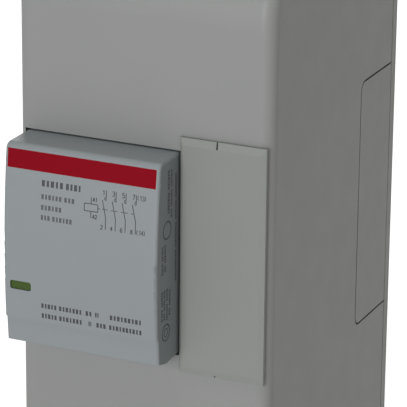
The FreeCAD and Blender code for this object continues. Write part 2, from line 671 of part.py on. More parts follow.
def blanking_plate():
    """The snap-in plate that closes the unused module of the window."""
    left = CONTACTOR_X + HALF_CONTACTOR + WINDOW_GAP
    right = HALF_WIDTH - PLATE_SIDE_INSET
    front = FRONT_Y - PLATE_THICKNESS - CONTACT_GAP
    back = FRONT_Y - CONTACT_GAP
    top = WINDOW_TOP + PLATE_OVERLAP
    bottom = WINDOW_BOTTOM - PLATE_OVERLAP
    radius = PLATE_EDGE_RADIUS
    leg_back = FRONT_Y + PLATE_LEG_DEPTH
    leg_top = WINDOW_TOP - PART_GAP
    leg_bottom = WINDOW_BOTTOM + PART_GAP
    bevel_y = front + PLATE_BEVEL_DEPTH
    flange = fuse(
        [
            box(left, right, bevel_y, back, bottom, top),
            taper(
                (left, right, bottom, top),
                (left, right - PLATE_SIDE_BEVEL, bottom + PLATE_END_BEVEL, top - PLATE_END_BEVEL),
                bevel_y,
                front,
            ),
        ]
    )
    panel = box(left, WINDOW_RIGHT - PART_GAP, front, leg_back, leg_bottom, leg_top)
    inside = box(
        left + PLATE_THICKNESS,
        right,
        front + PLATE_THICKNESS,
        leg_back + OVERSHOOT,
        leg_bottom + PLATE_THICKNESS,
        leg_top - PLATE_THICKNESS,
    )
    body = fuse([flange, panel]).cut(inside)
    corner = box(
        left - OVERSHOOT,
        left + radius,
        front - OVERSHOOT,
        front + radius,
        bottom - OVERSHOOT,
        top + OVERSHOOT,
    )
    axis = FreeCAD.Vector(left + radius, front + radius, bottom - OVERSHOOT)
    round_off = Part.makeCylinder(radius, top - bottom + 2 * OVERSHOOT, axis)
    split_x = CONTACTOR_X + HALF_CONTACTOR + MODULE / 2
    x0 = split_x - NICK_WIDTH / 2
    x1 = split_x + NICK_WIDTH / 2
    nick_back = back - NICK_SKIN
    nick = box(x0, x1, front - OVERSHOOT, nick_back, top - NICK_TOP, top + OVERSHOOT)
    nick_low = box(x0, x1, front - OVERSHOOT, nick_back, bottom - OVERSHOOT, bottom + NICK_BOTTOM)
    gap = box(
        left + radius,
        right,
        back,
        leg_back + OVERSHOOT,
        leg_bottom + PLATE_SIDE_CUTOUT,
        leg_top - PLATE_SIDE_CUTOUT,
    )
    return cut(body, [corner.cut(round_off), nick, nick_low, gap])


# ---------------------------------------------------------------- contactor housings


def face_cylinder(depth):
    """The drum whose surface is the contactor's face, or lies a depth behind it."""
    start_x = CONTACTOR_X - HALF_CONTACTOR - OVERSHOOT
    centre = FreeCAD.Vector(start_x, FACE_CENTRE_Y, FACE_CREST_Z)
    width = CONTACTOR_WIDTH + 2 * OVERSHOOT
    return Part.makeCylinder(FACE_RADIUS - depth, width, centre, FreeCAD.Vector(1, 0, 0))


def face_y(z):
    """How far forward the face is at a height."""
    return FACE_CENTRE_Y - math.sqrt(FACE_RADIUS**2 - (z - FACE_CREST_Z) ** 2)


def nose_block():
    """The nose's outside: crowned face, rounded brow and a chin that drops behind the face."""
    x0 = CONTACTOR_X - HALF_CONTACTOR
    shoulder_y = RAIL_Y - SHOULDER
    chin_z = NOSE_BOTTOM + CHIN_RISE
    heel_y = face_y(chin_z) + CHIN_DEPTH
    brow_z = NOSE_TOP - BROW_EDGE_RADIUS
    brow_lean = math.asin((brow_z - FACE_CREST_Z) / (FACE_RADIUS - BROW_EDGE_RADIUS))
    brow_y = FACE_CENTRE_Y - (FACE_RADIUS - BROW_EDGE_RADIUS) * math.cos(brow_lean)

    def on_brow(angle):
        y = brow_y - BROW_EDGE_RADIUS * math.cos(angle)
        return FreeCAD.Vector(x0, y, brow_z + BROW_EDGE_RADIUS * math.sin(angle))

    crest = FreeCAD.Vector(x0, face_y(FACE_CREST_Z), FACE_CREST_Z)
    chin = FreeCAD.Vector(x0, face_y(chin_z), chin_z)
    top = on_brow(math.pi / 2)
    line = [
        FreeCAD.Vector(x0, shoulder_y, NOSE_TOP),
        FreeCAD.Vector(x0, shoulder_y, NOSE_BOTTOM + HEEL_RISE),
        FreeCAD.Vector(x0, FRONT_Y, NOSE_BOTTOM + HEEL_RISE),
        FreeCAD.Vector(x0, heel_y, NOSE_BOTTOM),
        chin,
    ]
    edges = [Part.LineSegment(p, q).toShape() for p, q in zip([top, *line], line)]
    edges.append(Part.Arc(chin, crest, on_brow(brow_lean)).toShape())
    middle = on_brow((brow_lean + math.pi / 2) / 2)
    edges.append(Part.Arc(on_brow(brow_lean), middle, top).toShape())
    return Part.Face(Part.Wire(edges)).extrude(FreeCAD.Vector(CONTACTOR_WIDTH, 0, 0))


def soft_sides(piece, keep=lambda point: True):
    """A piece of the nose with its front and top edges rounded at both sides."""
    edges = [
        edge
        for edge in piece.Edges
        if abs(abs(edge.CenterOfMass.x - CONTACTOR_X) - HALF_CONTACTOR) < NEAR
        and keep(edge.CenterOfMass)
    ]
    return single(piece.makeFillet(NOSE_EDGE_RADIUS, edges))


def indicator_prism(margin, h0, h1):
    """The indicator window's outline, grown by a margin, between two heights."""
    half_x = INDICATOR_WIDTH / 2 + margin
    half_z = INDICATOR_HEIGHT / 2 + margin
    outline = block(
        INDICATOR_X - half_x,
        INDICATOR_X + half_x,
        h0,
        h1,
        INDICATOR_Z - half_z,
        INDICATOR_Z + half_z,
    )
    return rounded(outline, INDICATOR_CORNER, (0, 1, 0))


def plate_zone():
    """The slab of space that the face plate fills, before the window is cut."""
    half = HALF_CONTACTOR + OVERSHOOT
    front = RAIL_TO_CREST + OVERSHOOT
    slab = block(-half, half, SHOULDER, front, FACE_PLATE_BOTTOM, FACE_PLATE_TOP)
    return cut(slab, [face_cylinder(FACE_PLATE_THICKNESS)])


def band_zone():
    """The shallow recess in the face plate that the coloured band fills."""
    half = HALF_CONTACTOR - BAND_INSET
    front = RAIL_TO_CREST + OVERSHOOT
    slab = block(-half, half, SHOULDER, front, BAND_BOTTOM, FACE_PLATE_TOP + OVERSHOOT)
    return cut(slab, [face_cylinder(BAND_THICKNESS)])


def face_plate(nose):
    """The crowned plate on the contactor's face, recessed for the band and the indicator."""
    plate = overlap(nose, plate_zone())
    plate = soft_sides(plate, lambda point: abs(point.y - face_y(point.z)) < NOSE_EDGE_RADIUS)
    window = indicator_prism(0.0, SHOULDER, RAIL_TO_CREST + OVERSHOOT)
    return cut(plate, [band_zone(), window])


def face_band(nose):
    """The coloured band across the top of the face plate."""
    return overlap(overlap(nose, plate_zone()), band_zone())


def nose_cover(nose):
    """The hollow front housing behind the face plate."""
    half = HALF_CONTACTOR + OVERSHOOT
    front = RAIL_TO_CREST + OVERSHOOT
    chin_slab = block(-half, half, SHOULDER, front, NOSE_BOTTOM - OVERSHOOT, FACE_PLATE_BOTTOM)
    setback = cut(chin_slab, [face_cylinder(CHIN_SETBACK)])
    inside = block(
        -HALF_INSIDE,
        HALF_INSIDE,
        SHOULDER - OVERSHOOT,
        RAIL_TO_CREST,
        NOSE_BOTTOM + CHIN_RISE + HOUSING_WALL,
        NOSE_TOP - BROW_EDGE_RADIUS - PART_GAP,
    )
    inside = overlap(inside, face_cylinder(FACE_PLATE_THICKNESS + HOUSING_WALL))
    window = indicator_prism(0.0, SHOULDER, front)
    cover = cut(nose, [plate_zone(), setback, inside, window])
    chin_y = FRONT_Y - NOSE_PROUD + CHIN_DEPTH / 2

    def shows(point):
        at_brow = point.z > FACE_PLATE_TOP + NEAR
        return at_brow or (point.z < FACE_PLATE_BOTTOM - NEAR and point.y < chin_y)

    return soft_sides(cover, shows)


def indicator_lens():
    """The clear insert in the indicator window, a little below the face."""
    front = RAIL_TO_CREST - INDICATOR_RECESS
    back = RAIL_TO_CREST - FACE_PLATE_THICKNESS - HOUSING_WALL
    return indicator_prism(-RUNNING_CLEARANCE, back, front)


def terminal_pocket(x, end):
    """The space in the contact housing for one clamp, with its cable mouth and screw hole."""
    half = POCKET_WIDTH / 2
    reach = POCKET_LENGTH / 2
    z0, z1 = span(end, TERMINAL_Z - reach, TERMINAL_Z + reach)
    pocket = block(x - half, x + half, POCKET_FLOOR, POCKET_FRONT, z0, z1)
    mouth = CLAMP_WIDTH / 2 - CLAMP_SHEET + SLIP_FIT
    z0, z1 = span(end, TERMINAL_Z, HALF_BODY + OVERSHOOT)
    entry = block(x - mouth, x + mouth, CLAMP_MOUTH_BACK - SLIP_FIT, STRIP_BACK + SLIP_FIT, z0, z1)
    access_radius = TERMINAL_HEAD_RADIUS - HEAD_LIP
    access = peg(x, end * TERMINAL_Z, access_radius, HEAD_SEAT, SHOULDER + OVERSHOOT)
    return [pocket, entry, access]


def strip_slot(x, end):
    """The slot that a fixed contact lies in, from its clamp to its chamber."""
    half = STRIP_WIDTH / 2 + SLIP_FIT
    z0, z1 = span(end, CHAMBER_LENGTH / 2 - OVERSHOOT, TERMINAL_Z)
    return block(x - half, x + half, STRIP_BACK - SLIP_FIT, STRIP_FRONT + SLIP_FIT, z0, z1)


def coil_leg_slot(end):
    """The slot that a coil strip's leg goes down through."""
    half = STRIP_WIDTH / 2 + SLIP_FIT
    z0, z1 = span(end, COIL_LEG_INNER_Z - SLIP_FIT, COIL_LEG_OUTER_Z + SLIP_FIT)
    front = STRIP_FRONT + SLIP_FIT
    return block(COIL_X - half, COIL_X + half, DECK - OVERSHOOT, front, z0, z1)


def contact_housing():
    """The middle housing: terminal pockets at both ends and a contact chamber for each pole."""
    half = HALF_CONTACTOR
    body = block(-half, half, DECK, SHOULDER, -HALF_BODY, HALF_BODY)
    shoulders = [
        edge
        for edge in edges_along(body, FreeCAD.Vector(1, 0, 0))
        if edge.CenterOfMass.y < RAIL_Y - SHOULDER + NEAR
    ]
    body = body.makeChamfer(SHOULDER_BEVEL, shoulders)
    tools = []
    for end in (-1, 1):
        for x in POSITIONS:
            tools += terminal_pocket(x, end)
        tools += [strip_slot(x, end) for x in POLES]
        tools.append(coil_leg_slot(end))
        for side in (-1, 1):
            x = side * HOUSING_SCREW_X
            z = end * HOUSING_SCREW_Z
            bore = HOUSING_SCREW_RADIUS + RUNNING_CLEARANCE
            tools.append(peg(x, z, bore, DECK - OVERSHOOT, HOUSING_SCREW_TIP + PART_GAP))
    chamber = CHAMBER_LENGTH / 2
    slot = POST_LENGTH / 2 + PART_GAP
    front = SHOULDER + OVERSHOOT
    for x in POLES:
        x0 = x - POCKET_WIDTH / 2
        x1 = x + POCKET_WIDTH / 2
        tools.append(block(x0, x1, CHAMBER_FLOOR, front, -chamber, chamber))
        tools.append(block(x0, x1, DECK - OVERSHOOT, CHAMBER_FLOOR + OVERSHOOT, -slot, slot))
    return cut(body, tools)


def rail_feet():
    """The solid feet behind the housing, one with the fixed hook and one with the clip's channel."""
    half = HALF_CONTACTOR
    upper = block(-half, half, -FOOT_DEPTH, 0.0, HOOK_Z, HALF_BODY - FOOT_STEP)
    hook_back = HOOK_FRONT - HOOK_THICKNESS
    hook = block(-half, half, hook_back, HOOK_FRONT, HOOK_Z - HOOK_LENGTH, HOOK_Z)
    lower = block(-half, half, -FOOT_DEPTH, 0.0, -HALF_BODY, -HOOK_Z)
    channel_half = CLIP_WIDTH / 2 + CLIP_CLEARANCE
    channel_back = HOOK_FRONT - CLIP_THICKNESS - CLIP_CLEARANCE
    channel_front = HOOK_FRONT + CLIP_CLEARANCE
    z0 = -HALF_BODY - OVERSHOOT
    z1 = -HOOK_Z + OVERSHOOT
    channel = block(-channel_half, channel_half, channel_back, channel_front, z0, z1)
    slot_half = channel_half - CLIP_CHANNEL_LIP
    slot = block(-slot_half, slot_half, -FOOT_DEPTH - OVERSHOOT, channel_back, z0, z1)
    stop = block(
        -CLIP_STOP_HALF,
        CLIP_STOP_HALF,
        channel_back,
        channel_front,
        CLIP_STOP_Z - CLIP_STOP_HEIGHT,
        CLIP_STOP_Z,
    )
    return [upper, hook, cut(lower, [channel, slot]), stop]


def spring_seat(end):
    """The seat and stud of one return spring."""
    z = end * RETURN_SPRING_Z
    floor = HOUSING_WALL / 2
    seat = peg(0, z, RETURN_SPRING_RADIUS + RETURN_SEAT_RIM, floor, RETURN_SPRING_SEAT)
    stud_top = RETURN_SPRING_SEAT + RETURN_SPRING_STUD
    stud = peg(0, z, RETURN_SPRING_RADIUS - RETURN_STUD_INSET, floor, stud_top)
    return [seat, stud]


def screw_post(side, end):
    """The corner post that one housing screw goes through."""
    x0, x1 = span(side, HOUSING_SCREW_X - SCREW_POST_HALF, HALF_INSIDE)
    z0, z1 = span(end, HOUSING_SCREW_Z - SCREW_POST_HALF, HALF_BODY - HOUSING_WALL)
    return block(x0, x1, HOUSING_WALL / 2, DECK, z0, z1)


def base_housing():
    """The rear tub that holds the magnet, with the feet that go on the rail."""
    half = HALF_CONTACTOR
    tub = block(-half, half, 0.0, DECK, -HALF_BODY, HALF_BODY)
    tub = rounded(tub, HOUSING_EDGE_RADIUS, (0, 1, 0))
    inside = block(
        -HALF_INSIDE,
        HALF_INSIDE,
        HOUSING_WALL,
        DECK + OVERSHOOT,
        -HALF_BODY + HOUSING_WALL,
        HALF_BODY - HOUSING_WALL,
    )
    pieces = [tub.cut(inside), *rail_feet()]
    holes = []
    back = -FOOT_DEPTH - OVERSHOOT
    for end in (-1, 1):
        pieces += spring_seat(end)
        board_x = -end * BOARD_POST_X
        pieces.append(
            peg(board_x, BOARD_POST_Z, BOARD_POST_RADIUS, HOUSING_WALL / 2, BOARD_BACK)
        )
        for side in (-1, 1):
            x = side * HOUSING_SCREW_X
            z = end * HOUSING_SCREW_Z
            pieces.append(screw_post(side, end))
            holes.append(peg(x, z, HOUSING_SCREW_RADIUS + SLIP_FIT, back, DECK + OVERSHOOT))
            well = HOUSING_SCREW_HEAD_RADIUS + PART_GAP
            holes.append(peg(x, z, well, back, HOUSING_SCREW_SEAT))
    return cut(fuse(pieces), holes)


def housing_screws():
    """The four long screws that join the two housings from behind."""
    screws = []
    seat = HOUSING_SCREW_SEAT
    head_end = seat - HOUSING_SCREW_HEAD_HEIGHT
    recess_front = RAIL_Y - head_end - HOUSING_SCREW_RECESS_DEPTH
    recess_back = RAIL_Y - head_end + OVERSHOOT
    for end in (-1, 1):
        for side in (-1, 1):
            x = side * HOUSING_SCREW_X
            z = end * HOUSING_SCREW_Z
            head = peg(x, z, HOUSING_SCREW_HEAD_RADIUS, head_end, seat)
            shank = peg(x, z, HOUSING_SCREW_RADIUS, seat, HOUSING_SCREW_TIP)
            cross = driver_cross(
                CONTACTOR_X + x,
                z,
                HOUSING_SCREW_RECESS_REACH,
                recess_front,
                recess_back,
                CROSS_ANGLE,
            )
            screws.append(cut(fuse([head, shank]), [cross]))
    return Part.makeCompound(screws)


# ---------------------------------------------------------------- magnet


def magnet_core():
    """The laminated E-shaped core, its legs facing forward."""
    half_x = CORE_WIDTH / 2
    half_z = CORE_LENGTH / 2
    pieces = [block(-half_x, half_x, CORE_BACK, CORE_BACK + CORE_YOKE, -half_z, half_z)]
    centre = CORE_CENTRE_LEG / 2
    pieces.append(block(-half_x, half_x, CORE_BACK, CORE_FACE, -centre, centre))
    for end in (-1, 1):
        z0, z1 = span(end, half_z - CORE_LEG, half_z)
        pieces.append(block(-half_x, half_x, CORE_BACK, CORE_FACE, z0, z1))
    holes = [cross_rod(-half_x, half_x, h, z, RIVET_RADIUS) for h, z in core_rivet_places()]
    return cut(fuse(pieces), holes)


def core_rivet_places():
    """Height and z of each rivet through the core."""
    outer = CORE_LENGTH / 2 - CORE_LEG / 2
    back = CORE_BACK + CORE_YOKE / 2
    front = CORE_FACE - RIVET_SETBACK
    return [(back, -outer), (back, 0.0), (back, outer), (front, -outer), (front, outer)]


def core_rivets():
    """The rivets that hold the core's laminations together."""
    half = CORE_WIDTH / 2
    reach = half + RIVET_HEAD_HEIGHT
    rivets = []
    for h, z in core_rivet_places():
        shank = cross_rod(-half, half, h, z, RIVET_RADIUS)
        left = cross_rod(-reach, -half, h, z, RIVET_HEAD_RADIUS)
        right = cross_rod(half, reach, h, z, RIVET_HEAD_RADIUS)
        rivets.append(fuse([shank, left, right]))
    return Part.makeCompound(rivets)


def core_pads():
    """Two rubber pads that the core sits on."""
    half = PAD_WIDTH / 2
    pads = []
    for end in (-1, 1):
        z0, z1 = span(end, PAD_START_Z, CORE_LENGTH / 2 - PAD_SETBACK)
        pad = block(-half, half, HOUSING_WALL, CORE_BACK, z0, z1)
        pads.append(rounded(pad, PAD_CORNER, (0, 1, 0)))
    return Part.makeCompound(pads)


def coil_bobbin():
    """The plastic former round the core's middle leg."""
    half_x = BOBBIN_WIDTH / 2
    half_z = BOBBIN_LENGTH / 2
    hole_x = CORE_WIDTH / 2 + PART_GAP
    hole_z = CORE_CENTRE_LEG / 2 + PART_GAP
    wall = BOBBIN_WALL
    pieces = []
    for h0 in (BOBBIN_BACK, BOBBIN_FRONT - wall):
        flange = block(-half_x, half_x, h0, h0 + wall, -half_z, half_z)
        pieces.append(rounded(flange, BOBBIN_CORNER, (0, 1, 0)))
    tube_x = hole_x + wall
    tube_z = hole_z + wall
    tube = block(-tube_x, tube_x, BOBBIN_BACK, BOBBIN_FRONT, -tube_z, tube_z)
    pieces.append(rounded(tube, BOBBIN_TUBE_CORNER, (0, 1, 0)))
    return fuse(pieces).cut(block(-hole_x, hole_x, 0, DECK, -hole_z, hole_z))


def coil_winding():
    """The copper winding between the bobbin's flanges."""
    half_x = BOBBIN_WIDTH / 2 - WINDING_INSET
    half_z = BOBBIN_LENGTH / 2 - WINDING_INSET
    hole_x = CORE_WIDTH / 2 + PART_GAP + CONTACT_GAP + BOBBIN_WALL
    hole_z = CORE_CENTRE_LEG / 2 + PART_GAP + CONTACT_GAP + BOBBIN_WALL
    h0 = BOBBIN_BACK + BOBBIN_WALL
    h1 = BOBBIN_FRONT - BOBBIN_WALL
    ring = rounded(block(-half_x, half_x, h0, h1, -half_z, half_z), WINDING_CORNER, (0, 1, 0))
    hole = block(-hole_x, hole_x, h0 - OVERSHOOT, h1 + OVERSHOOT, -hole_z, hole_z)
    return ring.cut(hole)


def pin_bore():
    """The bore that the armature pin goes through."""
    reach = CORE_WIDTH / 2 + PIN_OVERHANG + OVERSHOOT
    return cross_rod(-reach, reach, PIN_H, 0, PIN_RADIUS + RUNNING_CLEARANCE)


def armature():
    """The flat iron armature in front of the core."""
    half_x = CORE_WIDTH / 2
    half_z = CORE_LENGTH / 2
    plate = block(-half_x, half_x, ARMATURE_BACK, ARMATURE_FRONT, -half_z, half_z)
    front_y = RAIL_Y - ARMATURE_FRONT
    plate = rounded(plate, ARMATURE_EDGE, (1, 0, 0), lambda point: point.y < front_y + NEAR)
    return plate.cut(pin_bore())


def armature_pin():
    """The pin that ties the armature to the contact carrier."""
    reach = CORE_WIDTH / 2 + PIN_OVERHANG
    return cross_rod(-reach, reach, PIN_H, 0, PIN_RADIUS)


def forward_spring(x, z, h0, h1, radius, wire, turns):
    """A spring between two heights in the contactor."""
    base = FreeCAD.Vector(CONTACTOR_X + x, RAIL_Y - h0, z)
    return spring(base, FreeCAD.Vector(0, -1, 0), h1 - h0, radius, wire, turns)


def return_spring(end):
    """One of the two springs that push the carrier forward."""
    return forward_spring(
        0,
        end * RETURN_SPRING_Z,
        RETURN_SPRING_SEAT,
        PLATE_FLOOR,
        RETURN_SPRING_RADIUS,
        RETURN_SPRING_WIRE,
        RETURN_SPRING_TURNS,
    )


def rectifier_board():
    """The small circuit board that feeds the coil."""
    half = BOARD_HALF_WIDTH
    board = block(-half, half, BOARD_BACK, BOARD_FRONT, BOARD_BOTTOM, BOARD_TOP)
    return rounded(board, BOARD_CORNER, (0, 1, 0))


def rectifier_parts():
    """The diodes and the surge suppressor on the board."""
    parts = []
    for i in range(DIODE_COUNT):
        x = CONTACTOR_X + DIODE_START_X + DIODE_PITCH * i
        start = FreeCAD.Vector(x, RAIL_Y - BOARD_FRONT - DIODE_RADIUS, BOARD_BOTTOM + DIODE_SETUP)
        parts.append(Part.makeCylinder(DIODE_RADIUS, DIODE_LENGTH, start, FreeCAD.Vector(0, 0, 1)))
    x0 = SUPPRESSOR_X - SUPPRESSOR_THICKNESS / 2
    x1 = SUPPRESSOR_X + SUPPRESSOR_THICKNESS / 2
    middle = (BOARD_BOTTOM + BOARD_TOP) / 2
    disc = cross_rod(x0, x1, BOARD_FRONT + SUPPRESSOR_RADIUS, middle, SUPPRESSOR_RADIUS)
    rims = [edge for edge in disc.Edges if isinstance(edge.Curve, Part.Circle)]
    parts.append(disc.makeFillet(SUPPRESSOR_EDGE, rims))
    return Part.makeCompound(parts)


# ---------------------------------------------------------------- contacts and terminals


def carrier_post(x):
    """The post of one pole, with the window that its bridge and spring sit in."""
    half_z = POST_LENGTH / 2
    front = CROSSBAR_FLOOR + CROSSBAR_THICKNESS / 2
    post = block(x - POST_HALF, x + POST_HALF, PLATE_FLOOR, front, -half_z, half_z)
    slot = POST_HALF - POST_CHEEK
    reach = half_z + OVERSHOOT
    rest = BRIDGE_BACK - CONTACT_GAP
    return post.cut(block(x - slot, x + slot, rest, CROSSBAR_FLOOR, -reach, reach))


def contact_carrier():
    """The carrier: a plate on the armature, a post for each pole and a bar across their tops."""
    half_post = POST_LENGTH / 2
    lug_inner = CORE_WIDTH / 2 + PART_GAP
    arm_z = RETURN_SPRING_Z + RETURN_SPRING_RADIUS + POST_CLEARANCE * 2
    arm = CARRIER_ARM_HALF
    pieces = [
        block(CARRIER_X0, CARRIER_X1, PLATE_FLOOR, PLATE_FRONT, -half_post, half_post),
        block(-arm, arm, PLATE_FLOOR, PLATE_FRONT, -arm_z, arm_z),
        block(CARRIER_X0, CARRIER_X1, CROSSBAR_FLOOR, CROSSBAR_TOP, -half_post, half_post),
    ]
    for side in (-1, 1):
        x0, x1 = span(side, lug_inner, lug_inner + LUG_THICKNESS)
        pieces.append(block(x0, x1, PIN_H - LUG_REACH, PLATE_FRONT, -LUG_HALF, LUG_HALF))
    pieces += [carrier_post(x) for x in POLES]
    return cut(fuse(pieces), [pin_bore()])


def indicator_flag():
    """The coloured flag that the carrier's bar holds behind the indicator window."""
    x0 = INDICATOR_X - INDICATOR_WIDTH / 2 + POST_CLEARANCE
    x1 = INDICATOR_X + INDICATOR_WIDTH / 2 - POST_CLEARANCE
    front = RAIL_TO_CREST - FACE_PLATE_THICKNESS - HOUSING_WALL - FLAG_GAP
    low = INDICATOR_Z - INDICATOR_HEIGHT / 2
    high = INDICATOR_Z + INDICATOR_HEIGHT / 2
    side_z = -FLAG_ARM_SETDOWN
    arm = block(x0, CARRIER_X0, CROSSBAR_FLOOR, CROSSBAR_TOP, -POST_LENGTH / 2, side_z)
    leg = block(x0, x1, CROSSBAR_FLOOR, CROSSBAR_TOP, low, side_z)
    flag = block(x0, x1, CROSSBAR_FLOOR, front, low, high)
    return fuse([arm, leg, flag])


def strip(x, z0, z1):
    """A flat copper strip with rounded ends, lying in the contact housing."""
    half = STRIP_WIDTH / 2
    blank = block(x - half, x + half, STRIP_BACK, STRIP_FRONT, z0, z1)
    return rounded(blank, STRIP_CORNER, (0, 1, 0))


def fixed_contacts(end):
    """The four fixed contact strips at one end, from their clamps to their tips."""
    z0, z1 = span(end, STRIP_INNER_Z, STRIP_OUTER_Z)
    return Part.makeCompound([strip(x, z0, z1) for x in POLES])


def tips(h0):
    """A silver tip at both contact places of each pole, from a height forward."""
    places = [(x, end * TIP_Z) for x in POLES for end in (-1, 1)]
    return Part.makeCompound([peg(x, z, TIP_RADIUS, h0, h0 + TIP_THICKNESS) for x, z in places])


def contact_bridges():
    """The four bridges that join line and load contacts."""
    half_z = BRIDGE_LENGTH / 2
    half_x = BRIDGE_WIDTH / 2
    bridges = []
    for x in POLES:
        bridge = block(x - half_x, x + half_x, BRIDGE_BACK, BRIDGE_FRONT, -half_z, half_z)
        bridges.append(rounded(bridge, BRIDGE_CORNER, (0, 1, 0)))
    return Part.makeCompound(bridges)


def contact_springs():
    """The spring behind each bridge that presses it on its contacts."""
    return Part.makeCompound(
        [
            forward_spring(
                x,
                0,
                BRIDGE_FRONT,
                CROSSBAR_FLOOR,
                CONTACT_SPRING_RADIUS,
                CONTACT_SPRING_WIRE,
                CONTACT_SPRING_TURNS,
            )
            for x in POLES
        ]
    )


def coil_strip(end):
    """The bent strip from a coil clamp down to the coil."""
    half = STRIP_WIDTH / 2
    z0, z1 = span(end, COIL_LEG_INNER_Z, STRIP_OUTER_Z)
    flat = block(COIL_X - half, COIL_X + half, STRIP_BACK, STRIP_FRONT, z0, z1)
    z0, z1 = span(end, COIL_LEG_INNER_Z, COIL_LEG_OUTER_Z)
    leg = block(COIL_X - half, COIL_X + half, BOARD_BACK, STRIP_FRONT, z0, z1)
    return fuse([flat, leg])


def coil_strips():
    """Both coil strips."""
    return Part.makeCompound([coil_strip(-1), coil_strip(1)])


def terminal_clamp(x, end):
    """A box clamp: the conductor goes through its mouth and its bridge rides on the screw."""
    half_x = CLAMP_WIDTH / 2
    half_z = CLAMP_LENGTH / 2
    z = end * TERMINAL_Z
    back = CLAMP_MOUTH_BACK - CLAMP_FLOOR
    clamp = block(x - half_x, x + half_x, back, CLAMP_TOP, z - half_z, z + half_z)
    clamp = rounded(clamp, CLAMP_CORNER, (0, 0, 1))
    mouth_x = half_x - CLAMP_SHEET
    mouth_z = half_z + OVERSHOOT
    mouth = block(
        x - mouth_x, x + mouth_x, CLAMP_MOUTH_BACK, CLAMP_MOUTH_FRONT, z - mouth_z, z + mouth_z
    )
    bore_radius = TERMINAL_SCREW_RADIUS + RUNNING_CLEARANCE
    bore = peg(x, z, bore_radius, CLAMP_MOUTH_FRONT - OVERSHOOT, CLAMP_TOP + OVERSHOOT)
    return cut(clamp, [mouth, bore])


def terminal_screw(x, end):
    """A terminal screw, held in place by the housing while its clamp climbs it."""
    z = end * TERMINAL_Z
    head_top = HEAD_SEAT + TERMINAL_HEAD_HEIGHT
    head = peg(x, z, TERMINAL_HEAD_RADIUS, HEAD_SEAT, head_top)
    shank = peg(x, z, TERMINAL_SCREW_RADIUS, STRIP_FRONT + SLIP_FIT, HEAD_SEAT)
    front = RAIL_Y - head_top
    recess_back = front + TERMINAL_RECESS_DEPTH
    cross = driver_cross(
        CONTACTOR_X + x, z, TERMINAL_RECESS_REACH, front - OVERSHOOT, recess_back, 0
    )
    return cut(fuse([head, shank]), [cross])


# ---------------------------------------------------------------- rail clip


def rail_clip():
    """The sliding clip that grips the rail from below, with a slot for a screwdriver."""
    half = CLIP_WIDTH / 2
    back = HOOK_FRONT - CLIP_THICKNESS
    tip = -FLANGE_Z + CLIP_REACH
    tail = -HALF_BODY - CLIP_TAIL
    plate = block(-half, half, back, HOOK_FRONT, tail, tip)
    bevels = [
        edge
        for edge in edges_along(plate, FreeCAD.Vector(1, 0, 0))
        if edge.CenterOfMass.z > tip - NEAR and edge.CenterOfMass.y < RAIL_Y - HOOK_FRONT + NEAR
    ]
    plate = plate.makeChamfer(CLIP_BEVEL, bevels)
    h0 = back - OVERSHOOT
    h1 = HOOK_FRONT + OVERSHOOT
    driver_z = tail + CLIP_DRIVER_SETUP
    driver_half = CLIP_DRIVER_HALF
    driver = block(-driver_half, driver_half, h0, h1, driver_z, driver_z + CLIP_DRIVER_HEIGHT)
    slot_bottom = CLIP_STOP_Z - CLIP_STOP_HEIGHT - PART_GAP
    slot = block(-CLIP_SLOT_HALF, CLIP_SLOT_HALF, h0, h1, slot_bottom, CLIP_SLOT_TOP)
    return cut(plate, [driver, slot])


def clip_spring():
    """The spring in the clip's slot that pushes it back up on the rail."""
    y = RAIL_Y - HOOK_FRONT + CLIP_THICKNESS / 2
    return spring(
        FreeCAD.Vector(CONTACTOR_X, y, CLIP_STOP_Z),
        FreeCAD.Vector(0, 0, 1),
        CLIP_SLOT_LENGTH,
        CLIP_SPRING_RADIUS,
        CLIP_SPRING_WIRE,
        CLIP_SPRING_TURNS,
    )


# ---------------------------------------------------------------- the whole object


def all_parts():
    """Every node's name and shape."""
    nose = nose_block()
    parts = {
        "enclosure_base": enclosure_base(),
        "enclosure_cover": enclosure_cover(),
        "cover_screw_top": cover_screw(1),
        "cover_screw_bottom": cover_screw(-1),
        "lock_bracket_top": lock_bracket(1),
        "lock_bracket_bottom": lock_bracket(-1),
        "blanking_plate": blanking_plate(),
        "din_rail": din_rail(),
        "rail_screws": rail_screws(),
        "base_housing": base_housing(),
        "contact_housing": contact_housing(),
        "housing_screws": housing_screws(),
        "nose_cover": nose_cover(nose),
        "face_plate": face_plate(nose),
        "face_band": face_band(nose),
        "indicator_lens": indicator_lens(),
        "indicator_flag": indicator_flag(),
        "magnet_core": magnet_core(),
        "core_rivets": core_rivets(),
        "core_pads": core_pads(),
        "coil_bobbin": coil_bobbin(),
        "coil_winding": coil_winding(),
        "armature": armature(),
        "armature_pin": armature_pin(),
        "return_spring_top": return_spring(1),
        "return_spring_bottom": return_spring(-1),
        "rectifier_board": rectifier_board(),
        "rectifier_parts": rectifier_parts(),
        "contact_carrier": contact_carrier(),
        "line_contacts": fixed_contacts(1),
        "load_contacts": fixed_contacts(-1),
        "fixed_tips": tips(STRIP_FRONT),
        "contact_bridges": contact_bridges(),
        "moving_tips": tips(BRIDGE_BACK - TIP_THICKNESS),
        "contact_springs": contact_springs(),
        "coil_strips": coil_strips(),
        "rail_clip": rail_clip(),
        "clip_spring": clip_spring(),
    }
    for end, names in ((1, TERMINALS_TOP), (-1, TERMINALS_BOTTOM)):
        for x, name in zip(POSITIONS, names):
            parts["terminal_clamp_" + name] = terminal_clamp(x, end)
            parts["terminal_screw_" + name] = terminal_screw(x, end)
    return parts


os.makedirs("parts", exist_ok=True)
for node, shape in all_parts().items():
    solids = len(shape.Solids)
    print(f"{node}: {solids} solid(s), {shape.Volume:.1f} mm3, valid {shape.isValid()}")
    shape.exportStep(f"parts/{node}.step")
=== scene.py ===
"""Looks of the enclosed DIN-rail contactor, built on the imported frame. In metres."""

import math

import bmesh
import bpy
from mathutils import Matrix, Vector


